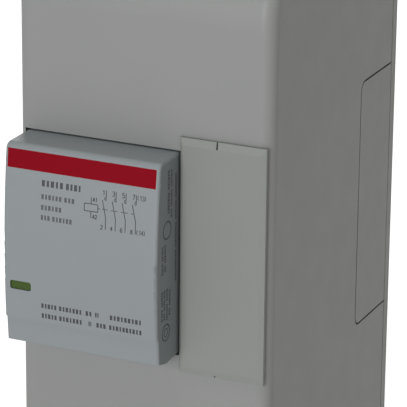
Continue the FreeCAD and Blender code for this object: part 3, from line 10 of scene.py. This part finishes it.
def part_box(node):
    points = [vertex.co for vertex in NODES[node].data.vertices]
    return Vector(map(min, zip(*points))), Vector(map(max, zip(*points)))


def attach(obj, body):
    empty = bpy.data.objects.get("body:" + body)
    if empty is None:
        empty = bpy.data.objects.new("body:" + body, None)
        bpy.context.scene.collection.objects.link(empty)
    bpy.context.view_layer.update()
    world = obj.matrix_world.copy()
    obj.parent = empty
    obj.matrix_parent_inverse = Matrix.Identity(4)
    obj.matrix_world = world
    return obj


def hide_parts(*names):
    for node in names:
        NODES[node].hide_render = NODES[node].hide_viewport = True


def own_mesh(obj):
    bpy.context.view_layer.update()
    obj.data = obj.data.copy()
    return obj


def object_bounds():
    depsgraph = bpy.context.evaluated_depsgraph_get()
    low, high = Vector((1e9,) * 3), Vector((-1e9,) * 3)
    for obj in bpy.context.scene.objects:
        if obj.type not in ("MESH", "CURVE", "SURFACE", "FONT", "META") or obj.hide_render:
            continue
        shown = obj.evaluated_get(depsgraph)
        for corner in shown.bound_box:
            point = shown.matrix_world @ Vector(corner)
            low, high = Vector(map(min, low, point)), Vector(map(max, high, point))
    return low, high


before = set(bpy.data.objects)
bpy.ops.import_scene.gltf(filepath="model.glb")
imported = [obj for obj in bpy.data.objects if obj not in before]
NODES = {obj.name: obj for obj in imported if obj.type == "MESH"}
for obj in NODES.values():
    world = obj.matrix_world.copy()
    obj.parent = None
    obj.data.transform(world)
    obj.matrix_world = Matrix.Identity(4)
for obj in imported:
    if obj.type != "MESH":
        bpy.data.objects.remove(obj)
CAD_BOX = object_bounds()
MM = 0.001

# ------------------------------------------------------------------ materials


def shader(name):
    """A new material, its node tree and its Principled shader."""
    material = bpy.data.materials.new(name)
    material.use_nodes = True
    tree = material.node_tree
    return material, tree, tree.nodes["Principled BSDF"]


def node(tree, kind, **sockets):
    """A node with the values of its named inputs."""
    made = tree.nodes.new(kind)
    for socket, value in sockets.items():
        made.inputs[socket].default_value = value
    return made


def grain(tree, scale, detail=3.0, stretch=(1.0, 1.0, 1.0)):
    """Noise in the object's own metres, with a scale in features per metre."""
    place = tree.nodes.new("ShaderNodeTexCoord")
    mapping = node(tree, "ShaderNodeMapping", Scale=stretch)
    noise = node(tree, "ShaderNodeTexNoise", Scale=scale, Detail=detail)
    tree.links.new(place.outputs["Object"], mapping.inputs["Vector"])
    tree.links.new(mapping.outputs["Vector"], noise.inputs["Vector"])
    return noise.outputs["Fac"]


def ramp(tree, value, low, high, start=0.3, end=0.7):
    """A value spread between two greys or two colours."""
    made = tree.nodes.new("ShaderNodeValToRGB")
    made.color_ramp.elements[0].position = start
    made.color_ramp.elements[1].position = end
    for element, colour in zip(made.color_ramp.elements, (low, high)):
        element.color = (*colour, 1.0) if not isinstance(colour, float) else (colour,) * 3 + (1.0,)
    tree.links.new(value, made.inputs["Fac"])
    return made.outputs["Color"]


def spread(tree, shade, socket, value, low, high, **ends):
    """Let a value move an input of the shader between two limits."""
    tree.links.new(ramp(tree, value, low, high, **ends), shade.inputs[socket])


def bump(tree, shade, height, strength, distance, under=None):
    """A bump on a shader, on top of another bump where one is given."""
    made = node(tree, "ShaderNodeBump", Strength=strength, Distance=distance)
    tree.links.new(height, made.inputs["Height"])
    if under is not None:
        tree.links.new(under, made.inputs["Normal"])
    tree.links.new(made.outputs["Normal"], shade.inputs["Normal"])
    return made.outputs["Normal"]


def scaled(colour, factor):
    """A colour made lighter or darker."""
    return tuple(min(channel * factor, 1.0) for channel in colour)


def moulded(name, colour, rough=0.42, texture=0.35, fleck=0.0, shine=0.3):
    """Moulded plastic: a soft unevenness of tone, a spark-eroded grain and uneven gloss."""
    material, tree, shade = shader(name)
    cloud = grain(tree, scale=45.0, detail=4.0)
    tone = ramp(tree, cloud, scaled(colour, 0.985), scaled(colour, 1.012))
    if fleck:
        mix = tree.nodes.new("ShaderNodeMix")
        mix.data_type = "RGBA"
        mix.blend_type = "MULTIPLY"
        mix.inputs["Factor"].default_value = fleck
        # Its colour sockets share their names with the number sockets, so they go by place.
        tree.links.new(tone, mix.inputs[6])
        specks = grain(tree, scale=5200.0, detail=2.0)
        tree.links.new(ramp(tree, specks, 0.82, 1.0), mix.inputs[7])
        tone = mix.outputs[2]
    tree.links.new(tone, shade.inputs["Base Color"])
    smears = grain(tree, scale=160.0, detail=5.0)
    spread(tree, shade, "Roughness", smears, rough - 0.03, rough + 0.03)
    shade.inputs["Specular IOR Level"].default_value = shine
    sag = grain(tree, scale=28.0, detail=1.0)
    waves = bump(tree, shade, sag, strength=0.03, distance=0.0002)
    sparks = grain(tree, scale=3600.0, detail=2.0)
    bump(tree, shade, sparks, strength=texture, distance=0.00003, under=waves)
    return material


def metal(name, colour, rough=0.3, stretch=(1.0, 1.0, 1.0)):
    """Bare or plated metal with a drawn grain and cloudy tarnish."""
    material, tree, shade = shader(name)
    shade.inputs["Metallic"].default_value = 1.0
    tarnish = grain(tree, scale=130.0, detail=4.0)
    spread(tree, shade, "Base Color", tarnish, scaled(colour, 0.93), scaled(colour, 1.04))
    smears = grain(tree, scale=420.0, detail=4.0)
    spread(tree, shade, "Roughness", smears, rough - 0.04, rough + 0.06)
    drawn = grain(tree, scale=900.0, detail=3.0, stretch=stretch)
    bump(tree, shade, drawn, strength=0.3, distance=0.00003)
    return material


def layered(name, colour, gap, pitch, axis, metallic, rough):
    """Thin layers lying on each other along an axis: laminations or wound wire."""
    material, tree, shade = shader(name)
    place = tree.nodes.new("ShaderNodeTexCoord")
    wave = node(tree, "ShaderNodeTexWave", Scale=1.0 / (math.pi * pitch))
    wave.bands_direction = axis
    tree.links.new(place.outputs["Object"], wave.inputs["Vector"])
    lines = wave.outputs["Fac"]
    spread(tree, shade, "Base Color", lines, gap, colour, start=0.05, end=0.4)
    shade.inputs["Metallic"].default_value = metallic
    smears = grain(tree, scale=700.0, detail=3.0)
    spread(tree, shade, "Roughness", smears, rough - 0.08, rough + 0.1)
    bump(tree, shade, lines, strength=0.7, distance=0.00012)
    return material


INK_ROUGH = 0.55


def ink(name, colour):
    """Printing ink, a little broken up by the grain below it."""
    material, tree, shade = shader(name)
    spread(tree, shade, "Base Color", grain(tree, scale=2600.0), colour, scaled(colour, 1.35))
    smears = grain(tree, scale=1500.0, detail=2.0)
    spread(tree, shade, "Roughness", smears, INK_ROUGH - 0.08, INK_ROUGH + 0.08)
    sparks = grain(tree, scale=3600.0, detail=2.0)
    bump(tree, shade, sparks, strength=0.2, distance=0.00002)
    return material


def tinted(name, colour):
    """The see-through insert in the indicator window, coloured like the flag behind it."""
    material, tree, shade = shader(name)
    cloud = grain(tree, scale=200.0, detail=2.0)
    spread(tree, shade, "Base Color", cloud, scaled(colour, 0.9), scaled(colour, 1.1))
    smears = grain(tree, scale=500.0, detail=2.0)
    spread(tree, shade, "Roughness", smears, 0.22, 0.3)
    shade.inputs["Transmission Weight"].default_value = 0.25
    shade.inputs["IOR"].default_value = 1.3
    return material


ENCLOSURE = moulded("enclosure_grey", (0.150, 0.152, 0.148), rough=0.4, shine=0.1)
BLANK = moulded("blanking_grey", (0.136, 0.141, 0.133), rough=0.48, shine=0.12)
HOUSING = moulded("housing_grey", (0.150, 0.158, 0.152), rough=0.5, texture=0.5, shine=0.25)
FACE = moulded("face_grey", (0.137, 0.149, 0.153), rough=0.5, texture=0.4, shine=0.2)
BAND = moulded("band_red", (0.128, 0.0035, 0.0075), rough=0.6, texture=0.3, shine=0.0)
FLAG = moulded("flag_green", (0.060, 0.105, 0.014), rough=0.5, shine=0.2)
BLACK = moulded("carrier_black", (0.028, 0.028, 0.030), rough=0.4, texture=0.5)
NATURAL = moulded("bobbin_natural", (0.62, 0.60, 0.52), rough=0.45)
RUBBER = moulded("pad_rubber", (0.018, 0.018, 0.018), rough=0.8, texture=0.8)
BOARD = moulded("board_green", (0.02, 0.13, 0.05), rough=0.3, fleck=0.6)
DARK = moulded("component_dark", (0.03, 0.035, 0.06), rough=0.35)
ZINC = metal("zinc_steel", (0.62, 0.63, 0.65), rough=0.3)
RAIL = metal("rail_zinc", (0.66, 0.67, 0.68), rough=0.28, stretch=(0.04, 1.0, 1.0))
COPPER = metal("copper", (0.80, 0.36, 0.20), rough=0.26)
SILVER = metal("contact_silver", (0.86, 0.85, 0.82), rough=0.34)
BRASS = metal("plated_brass", (0.78, 0.62, 0.32), rough=0.25)
WIRE = metal("spring_wire", (0.5, 0.5, 0.52), rough=0.22)
LAMINATED = layered("laminated_iron", (0.30, 0.30, 0.31), (0.03, 0.03, 0.03), 0.0005, "X", 1.0, 0.4)
WINDING = layered("enamelled_wire", (0.45, 0.13, 0.035), (0.06, 0.012, 0.004), 0.0004, "Y", 0.7, 0.3)
INDICATOR = tinted("indicator_green", (0.033, 0.062, 0.006))

FINISH = {
    "enclosure_base": ENCLOSURE,
    "enclosure_cover": ENCLOSURE,
    "cover_screw_top": ENCLOSURE,
    "cover_screw_bottom": ENCLOSURE,
    "blanking_plate": BLANK,
    "din_rail": RAIL,
    "rail_screws": ZINC,
    "base_housing": HOUSING,
    "contact_housing": HOUSING,
    "housing_screws": ZINC,
    "nose_cover": FACE,
    "face_plate": FACE,
    "face_band": BAND,
    "indicator_lens": INDICATOR,
    "indicator_flag": FLAG,
    "magnet_core": LAMINATED,
    "core_rivets": ZINC,
    "core_pads": RUBBER,
    "coil_bobbin": NATURAL,
    "coil_winding": WINDING,
    "armature": LAMINATED,
    "armature_pin": ZINC,
    "return_spring_top": WIRE,
    "return_spring_bottom": WIRE,
    "rectifier_board": BOARD,
    "rectifier_parts": DARK,
    "contact_carrier": BLACK,
    "line_contacts": COPPER,
    "load_contacts": COPPER,
    "fixed_tips": SILVER,
    "contact_bridges": COPPER,
    "moving_tips": SILVER,
    "contact_springs": WIRE,
    "coil_strips": BRASS,
    "rail_clip": BLACK,
    "clip_spring": WIRE,
}
# Pieces that the table leaves out, such as the terminal screws and the lock brackets, are zinc.
for name, obj in NODES.items():
    obj.data.materials.clear()
    obj.data.materials.append(FINISH.get(name, ZINC))

# ------------------------------------------------------------------ printing

NOSE_LOW, NOSE_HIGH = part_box("nose_cover")
FACE_LOW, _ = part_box("face_plate")
SHOULDER_LOW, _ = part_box("contact_housing")
MID_X = (NOSE_LOW.x + NOSE_HIGH.x) / 2
# The crowned face: its radius, and the height of its crest.
CROWN = 0.205
CREST_Z = -0.004
INK_ABOVE = 0.00002
INK_BELOW = 0.00004
LONGEST_STEP = 1.5  # of a stroke that follows a curved surface, in millimetres

LETTER_LINE = 0.17
LETTER_ADVANCE = 0.68  # from one letter to the next, as a share of the height
GLYPHS = {
    "1": [[(0.08, 0.76), (0.32, 1), (0.32, 0)]],
    "2": [[(0, 0.8), (0.1, 0.95), (0.25, 1), (0.42, 0.94), (0.5, 0.76), (0.44, 0.56), (0, 0), (0.5, 0)]],
    "3": [
        [(0.02, 0.88), (0.15, 1), (0.35, 1), (0.48, 0.88), (0.48, 0.66), (0.33, 0.54), (0.18, 0.54)],
        [(0.33, 0.54), (0.5, 0.4), (0.5, 0.15), (0.35, 0), (0.15, 0), (0, 0.14)],
    ],
    "4": [[(0.38, 0), (0.38, 1), (0, 0.3), (0.54, 0.3)]],
    "5": [
        [(0.47, 1), (0.06, 1), (0.03, 0.56), (0.2, 0.62), (0.38, 0.6), (0.5, 0.45)],
        [(0.5, 0.45), (0.5, 0.15), (0.36, 0), (0.14, 0), (0, 0.12)],
    ],
    "6": [
        [(0.44, 0.95), (0.28, 1), (0.12, 0.92), (0.02, 0.65), (0, 0.3), (0.1, 0.05), (0.25, 0)],
        [(0.25, 0), (0.42, 0.06), (0.5, 0.3), (0.42, 0.52), (0.25, 0.6), (0.08, 0.52), (0.01, 0.36)],
    ],
    "7": [[(0, 1), (0.5, 1), (0.18, 0)]],
    "8": [
        [(0.25, 0.54), (0.08, 0.66), (0.07, 0.88), (0.25, 1), (0.43, 0.88), (0.42, 0.66), (0.25, 0.54)],
        [(0.25, 0.54), (0.05, 0.42), (0, 0.2), (0.12, 0.03), (0.25, 0), (0.38, 0.03), (0.5, 0.2)],
        [(0.5, 0.2), (0.45, 0.42), (0.25, 0.54)],
    ],
    "A": [[(0, 0), (0.27, 1), (0.54, 0)], [(0.09, 0.32), (0.45, 0.32)]],
    "(": [[(0.3, 1.05), (0.12, 0.75), (0.12, 0.3), (0.3, -0.05)]],
    ")": [[(0.1, 1.05), (0.28, 0.75), (0.28, 0.3), (0.1, -0.05)]],
}


def on_face(x, z):
    """A place on the crowned face, from millimetres right of its middle and up; with its normal."""
    up = z * MM - CREST_Z
    y = FACE_LOW.y + CROWN - math.sqrt(CROWN**2 - up**2)
    normal = Vector((0, -math.sqrt(CROWN**2 - up**2) / CROWN, up / CROWN))
    return Vector((MID_X + x * MM, y, z * MM)), normal


def on_side(y, z):
    """A place on the nose's right side, from millimetres along Y and up."""
    return Vector((NOSE_HIGH.x, y * MM, z * MM)), Vector((1, 0, 0))


def on_shoulder(x, z):
    """A place on the flat front of the contact housing."""
    return Vector((MID_X + x * MM, SHOULDER_LOW.y, z * MM)), Vector((0, -1, 0))


def add_bar(mesh, surface, start, end, width):
    """One printed stroke: a thin closed bar that follows the surface."""
    run = Vector((end[0] - start[0], end[1] - start[1]))
    if run.length < 1e-9:
        return
    steps = max(1, math.ceil(run.length / LONGEST_STEP))
    side = Vector((-run.y, run.x)).normalized() * width / 2
    rings = []
    for i in range(steps + 1):
        middle = Vector(start) + run * (i / steps)
        ring = []
        for sign, lift in ((-1, INK_ABOVE), (1, INK_ABOVE), (1, -INK_BELOW), (-1, -INK_BELOW)):
            at, normal = surface(*(middle + side * sign))
            ring.append(mesh.verts.new(at + normal * lift))
        rings.append(ring)
    for first, second in zip(rings, rings[1:]):
        for i in range(4):
            j = (i + 1) % 4
            mesh.faces.new((first[i], first[j], second[j], second[i]))
    mesh.faces.new(reversed(rings[0]))
    mesh.faces.new(rings[-1])


def mesh_piece(name, mesh, material, smooth=False):
    """A piece made from a finished bmesh."""
    bmesh.ops.recalc_face_normals(mesh, faces=mesh.faces)
    for face in mesh.faces:
        face.smooth = smooth and len(face.verts) == 4
    data = bpy.data.meshes.new(name)
    mesh.to_mesh(data)
    mesh.free()
    data.materials.append(material)
    piece = bpy.data.objects.new(name, data)
    bpy.context.scene.collection.objects.link(piece)
    return piece


def print_on(name, surface, strokes, material):
    """A piece made of printed strokes: each is a list of places and a width, in millimetres."""
    mesh = bmesh.new()
    for path, width in strokes:
        for start, end in zip(path, path[1:]):
            add_bar(mesh, surface, start, end, width)
    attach(mesh_piece(name, mesh, material), "enclosure")


def text(words, x, z, height, width=LETTER_LINE, advance=LETTER_ADVANCE):
    """Strokes of a short run of numbers, with its lower left corner given."""
    strokes = []
    for letter in words:
        for path in GLYPHS[letter]:
            strokes.append(([(x + px * height, z + pz * height) for px, pz in path], width))
        x += advance * height
    return strokes


def circle(x, z, radius, width, sides=24):
    """A ring as one stroke."""
    turn = [2 * math.pi * i / sides for i in range(sides + 1)]
    return [([(x + radius * math.cos(a), z + radius * math.sin(a)) for a in turn], width)]


def row(at, height, words, turned=False):
    """A line of plain blocks, which stand in for a printed line's words; turned, it runs along Z."""
    blocks = []
    for start, end in words:
        count = max(2, round(abs(end - start) / (BLOCK_PITCH * height)))
        pitch = (end - start) / count
        for i in range(count):
            along = start + pitch * (i + 0.5)
            wide = abs(pitch) * BLOCK_WIDTHS[i % len(BLOCK_WIDTHS)]
            ends = [(along, at - height / 2), (along, at + height / 2)]
            blocks.append(([(z, x) for x, z in ends] if turned else ends, wide))
    return blocks


def wiring_diagram():
    """The coil, the four poles and their terminal numbers."""
    strokes = list(COIL_STROKES)
    for words, x, z in COIL_NUMBERS:
        strokes += text(words, x, z, COIL_TEXT)
    for at, above, below in SWITCHES:
        for path, width in SWITCH_STROKES:
            strokes.append(([(at + x, z) for x, z in path], width))
        for words, (x, z, height) in ((above, UPPER_NUMBER), (below, LOWER_NUMBER)):
            strokes += text(words, at + x, z, height)
    for words, x, z in SPARE_NUMBERS:
        strokes += text(words, x, z, SPARE_TEXT, FINE_LINE, SPARE_ADVANCE)
    return strokes + link_dashes()


def link_dashes():
    """The dashed line that joins the coil to the blades."""
    stations = [COIL_RIGHT, *[x - LINK_INSET for x, _, _ in SWITCHES]]
    dashes = []
    for start, end in zip(stations, stations[1:]):
        third = (end - start) / 3
        first = [(start + DASH_GAP, LINK_HEIGHT), (start + third, LINK_HEIGHT)]
        second = [(end - third, LINK_HEIGHT), (end - DASH_GAP, LINK_HEIGHT)]
        dashes += [(first, LINK_LINE), (second, LINK_LINE)]
    return dashes


def side_marks():
    """The small print and the round marks on the nose's side."""
    strokes = []
    for y, z, radius, width in SIDE_RINGS:
        strokes += circle(y, z, radius, width)
    for at, height, words in SIDE_LINES:
        strokes += row(at, height, words, turned=True)
    return strokes


def terminal_numbers():
    """The number in front of each terminal."""
    strokes = []
    for z, labels in TERMINAL_LABELS:
        for i, label in enumerate(labels):
            x = (i - 2) * TERMINAL_PITCH - TERMINAL_SHIFT * len(label)
            strokes += text(label, x, z, TERMINAL_TEXT, TERMINAL_LINE)
    return strokes


INK = ink("print_ink", (0.006, 0.007, 0.009))
PALE_INK = ink("print_ink_pale", (0.022, 0.024, 0.026))

# The wiring diagram, in millimetres from the nose's middle line and upwards.
DIAGRAM_LINE = 0.18
LEAD_LINE = 0.17
LINK_LINE = 0.16
FINE_LINE = 0.14
COIL_RIGHT = 4.2
COIL_OUTLINE = [(1.05, 10.5), (COIL_RIGHT, 10.5), (COIL_RIGHT, 12.1), (1.05, 12.1), (1.05, 10.5)]
COIL_STROKES = [
    (COIL_OUTLINE, DIAGRAM_LINE),
    ([(2.62, 12.1), (2.62, 13.55)], LEAD_LINE),
    ([(2.62, 10.5), (2.62, 9.05)], LEAD_LINE),
]
COIL_TEXT = 0.85
COIL_NUMBERS = [("A1", 3.0, 12.7), ("A2", 3.0, 9.0)]
LINK_HEIGHT = 11.35
LINK_INSET = 0.3
DASH_GAP = 0.1
SPARE_TEXT = 0.95
SPARE_ADVANCE = 0.58
SPARE_NUMBERS = [("(13)", 13.2, 14.45), ("(14)", 13.2, 7.05)]

# One switch, from its own middle line: its strokes, and each number's place and height.
SWITCH_STROKES = [
    ([(0, 15.5), (0, 13.3)], DIAGRAM_LINE),
    ([(0, 14.1), (-0.34, 13.9), (-0.34, 13.5), (0, 13.3)], FINE_LINE),
    ([(-0.85, 13.3), (0, 9.7), (0, 7.05)], DIAGRAM_LINE),
]
UPPER_NUMBER = (-0.86, 14.45, 1.0)
LOWER_NUMBER = (-1.12, 7.0, 0.9)
SWITCHES = [(6.05, "1", "2"), (8.33, "3", "4"), (10.62, "5", "6"), (12.98, "7", "8")]

# Lines of small print: each line's place, its height, and where its words start and end.
BLOCK_PITCH = 0.78
BLOCK_WIDTHS = (0.66, 0.5, 0.7, 0.44, 0.62)
TITLE_LINES = [(14.9, 1.35, [(-9.2, -3.9), (-3.5, 0.3)])]
SMALL_LINES = [
    (12.0, 1.05, [(-9.2, -4.2), (-3.8, -1.2)]),
    (9.65, 1.05, [(-9.2, -4.2)]),
    (7.45, 1.05, [(-9.2, -6.9), (-6.5, -1.7)]),
]
RATING_LINES = [
    (-12.4, 1.05, [(-9.2, -5.4), (-5.0, 0.6), (1.3, 3.0), (3.6, 4.6), (7.0, 14.6)]),
    (-14.7, 1.05, [(-9.2, -5.4), (-5.0, 0.6), (2.0, 2.8), (3.8, 6.2), (6.8, 14.6)]),
]
SIDE_LINES = [
    (-76.3, 0.9, [(20.2, 15.9), (15.3, 10.6)]),
    (-74.9, 0.7, [(20.0, 16.2), (15.6, 11.9), (11.3, 9.4)]),
    (-72.8, 0.7, [(18.6, 13.2), (12.6, 8.4), (7.6, 2.2), (1.6, -5.4)]),
    (-79.2, 0.7, [(4.2, 1.0), (0.4, -2.2)]),
    (-77.9, 0.7, [(4.2, 0.2), (-0.4, -1.8)]),
    (-79.4, 0.7, [(-5.8, -9.2), (-9.8, -12.6)]),
    (-78.2, 0.7, [(-5.8, -10.4), (-11.0, -12.6)]),
    (-76.9, 0.7, [(-5.8, -8.6), (-9.2, -13.0)]),
    (-75.6, 0.7, [(-6.4, -10.0), (-10.6, -12.2)]),
]
SIDE_RINGS = [(-77.0, 7.2, 1.9, 0.28), (-77.4, -15.6, 1.8, 0.28), (-77.4, -15.6, 0.9, 0.2)]
TERMINAL_PITCH = 6.875
TERMINAL_SHIFT = 0.55  # about half a letter, to centre the number on its terminal
TERMINAL_TEXT = 1.8
TERMINAL_LINE = 0.26
TERMINAL_LABELS = [(27.1, ("A1", "1", "3", "5", "7")), (-28.9, ("A2", "2", "4", "6", "8"))]

print_on("face_wiring_diagram", on_face, wiring_diagram(), INK)
for name, lines, material in (
    ("face_title_blocks", TITLE_LINES, INK),
    ("face_small_blocks", SMALL_LINES, PALE_INK),
    ("face_rating_blocks", RATING_LINES, INK),
):
    print_on(name, on_face, [block for line in lines for block in row(*line)], material)
print_on("nose_side_marks", on_side, side_marks(), PALE_INK)
print_on("terminal_numbers", on_shoulder, terminal_numbers(), INK)

# ------------------------------------------------------------------ springs

TURN_STEPS = 28
WIRE_SIDES = 10
ALONG_Y = Vector((0, 1, 0))
ALONG_Z = Vector((0, 0, 1))

RETURN_WIRE, RETURN_TURNS = 0.6 * MM, 7
CONTACT_WIRE, CONTACT_TURNS = 0.4 * MM, 5
CLIP_WIRE, CLIP_TURNS = 0.35 * MM, 8


def add_coil(mesh, start, end, radius, wire, turns):
    """A closed helical wire between two places on its axis."""
    axis = (end - start).normalized()
    across = axis.orthogonal().normalized()
    beside = axis.cross(across)
    rings = []
    for i in range(turns * TURN_STEPS + 1):
        turn = 2 * math.pi * i / TURN_STEPS
        outward = across * math.cos(turn) + beside * math.sin(turn)
        middle = start.lerp(end, i / (turns * TURN_STEPS)) + outward * radius
        ring = []
        for k in range(WIRE_SIDES):
            round_wire = 2 * math.pi * k / WIRE_SIDES
            offset = outward * math.cos(round_wire) + axis * math.sin(round_wire)
            ring.append(mesh.verts.new(middle + offset * wire / 2))
        rings.append(ring)
    for first, second in zip(rings, rings[1:]):
        for k in range(WIRE_SIDES):
            j = (k + 1) % WIRE_SIDES
            mesh.faces.new((first[k], first[j], second[j], second[k]))
    mesh.faces.new(reversed(rings[0]))
    mesh.faces.new(rings[-1])


def coils(name, cad_node, axis, wire, turns, centres):
    """A piece of like coils in place of a spring node, as long and as wide as the node."""
    low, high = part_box(cad_node)
    radius = (high.z - low.z - wire) / 2 if axis.y else (high.x - low.x - wire) / 2
    length = (high - low).dot(axis)
    inset = axis * wire / 2
    mesh = bmesh.new()
    for centre in centres:
        base = centre - axis * centre.dot(axis) + axis * low.dot(axis)
        add_coil(mesh, base + inset, base + axis * length - inset, radius, wire, turns)
    piece = mesh_piece(name, mesh, WIRE, smooth=True)
    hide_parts(cad_node)
    return piece


def shorten(piece):
    """Give a spring piece a mesh of its own."""
    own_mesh(piece)


def middle_of(cad_node):
    """The middle of a node's box."""
    low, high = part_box(cad_node)
    return (low + high) / 2


def return_coil(end):
    """One of the springs between the base housing and the carrier."""
    cad_node = f"return_spring_{end}"
    centres = [middle_of(cad_node)]
    piece = coils(f"return_coil_{end}", cad_node, ALONG_Y, RETURN_WIRE, RETURN_TURNS, centres)
    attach(piece, "enclosure")
    shorten(piece)


def contact_coils():
    """The springs between the carrier's bar and the four bridges."""
    centres = [Vector((MID_X + TERMINAL_PITCH * MM * pole, 0, 0)) for pole in (-1, 0, 1, 2)]
    node_name = "contact_springs"
    piece = coils("contact_coils", node_name, ALONG_Y, CONTACT_WIRE, CONTACT_TURNS, centres)
    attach(piece, "contact_carrier")
    shorten(piece)


def clip_coil():
    """The spring between the housing's stop and the rail clip."""
    centres = [middle_of("clip_spring")]
    piece = coils("clip_coil", "clip_spring", ALONG_Z, CLIP_WIRE, CLIP_TURNS, centres)
    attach(piece, "enclosure")
    shorten(piece)


return_coil("top")
return_coil("bottom")
contact_coils()
clip_coil()

# ------------------------------------------------------------------ floor, light and camera

FLOOR_SIZE = 60.0
FLOOR_GLOW = 0.8
AIM = (0, -0.04, 0)
MIDDLE = (0, 0, 0)


def studio_floor():
    """A pale plain floor below the object."""
    material, tree, shade = shader("studio_floor")
    cloud = grain(tree, scale=3.0, detail=2.0)
    spread(tree, shade, "Base Color", cloud, (0.26, 0.26, 0.26), (0.29, 0.29, 0.29))
    shade.inputs["Roughness"].default_value = 0.9
    shade.inputs["Emission Color"].default_value = (1.0, 1.0, 1.0, 1.0)
    shade.inputs["Emission Strength"].default_value = FLOOR_GLOW
    bpy.ops.mesh.primitive_plane_add(size=FLOOR_SIZE, location=(0, 0, CAD_BOX[0][2]))
    floor = bpy.context.object
    floor.name = "floor"
    floor.data.materials.append(material)


def softbox(name, place, target, size, power, colour=(1.0, 1.0, 1.0)):
    """A square area light turned to a target."""
    light = bpy.data.lights.new(name, "AREA")
    light.shape = "SQUARE"
    light.size = size
    light.energy = power
    light.color = colour
    lamp = bpy.data.objects.new(name, light)
    bpy.context.scene.collection.objects.link(lamp)
    lamp.location = place
    lamp.rotation_euler = (Vector(target) - Vector(place)).to_track_quat("-Z", "Y").to_euler()


def surroundings():
    """The dim, slightly warm light from all round."""
    world = bpy.data.worlds.new("studio")
    world.use_nodes = True
    background = world.node_tree.nodes["Background"]
    background.inputs["Color"].default_value = (1.0, 1.0, 0.75, 1.0)
    background.inputs["Strength"].default_value = 0.16
    bpy.context.scene.world = world


studio_floor()
softbox("key", (-0.05, -2.0, 0.42), AIM, 1.0, 46.0, (0.95, 0.96, 1.0))
softbox("fill", (1.7, -1.1, 0.5), AIM, 1.0, 2.0, (1.0, 0.98, 0.8))
softbox("top", (0.1, -0.3, 2.0), MIDDLE, 1.4, 31.0)
softbox("back", (-0.5, 1.9, 0.7), MIDDLE, 1.4, 30.0)
surroundings()
bpy.context.scene.view_settings.view_transform = "Standard"

YAW = math.radians(24.285)
PITCH = math.radians(19.206)
ROLL = math.radians(0.547)
DISTANCE = 0.5938
TARGET = Vector((0.01414, -0.071, 0.01208))
LENS = 251.61
SENSOR = 36.0
NEAREST = 0.01


def camera():
    """The camera, from its direction, roll, distance and the place that it looks at."""
    forward = Vector(
        (-math.sin(YAW) * math.cos(PITCH), math.cos(YAW) * math.cos(PITCH), -math.sin(PITCH))
    )
    level = Vector((math.cos(YAW), math.sin(YAW), 0))
    upright = level.cross(forward)
    right = level * math.cos(ROLL) + upright * math.sin(ROLL)
    up = upright * math.cos(ROLL) - level * math.sin(ROLL)
    lens = bpy.data.cameras.new("camera")
    lens.sensor_width = SENSOR
    lens.lens = LENS
    lens.clip_start = NEAREST
    made = bpy.data.objects.new("camera", lens)
    bpy.context.scene.collection.objects.link(made)
    turn = Matrix((right, up, -forward)).transposed()
    made.matrix_world = Matrix.Translation(TARGET - forward * DISTANCE) @ turn.to_4x4()
    bpy.context.scene.camera = made


camera()
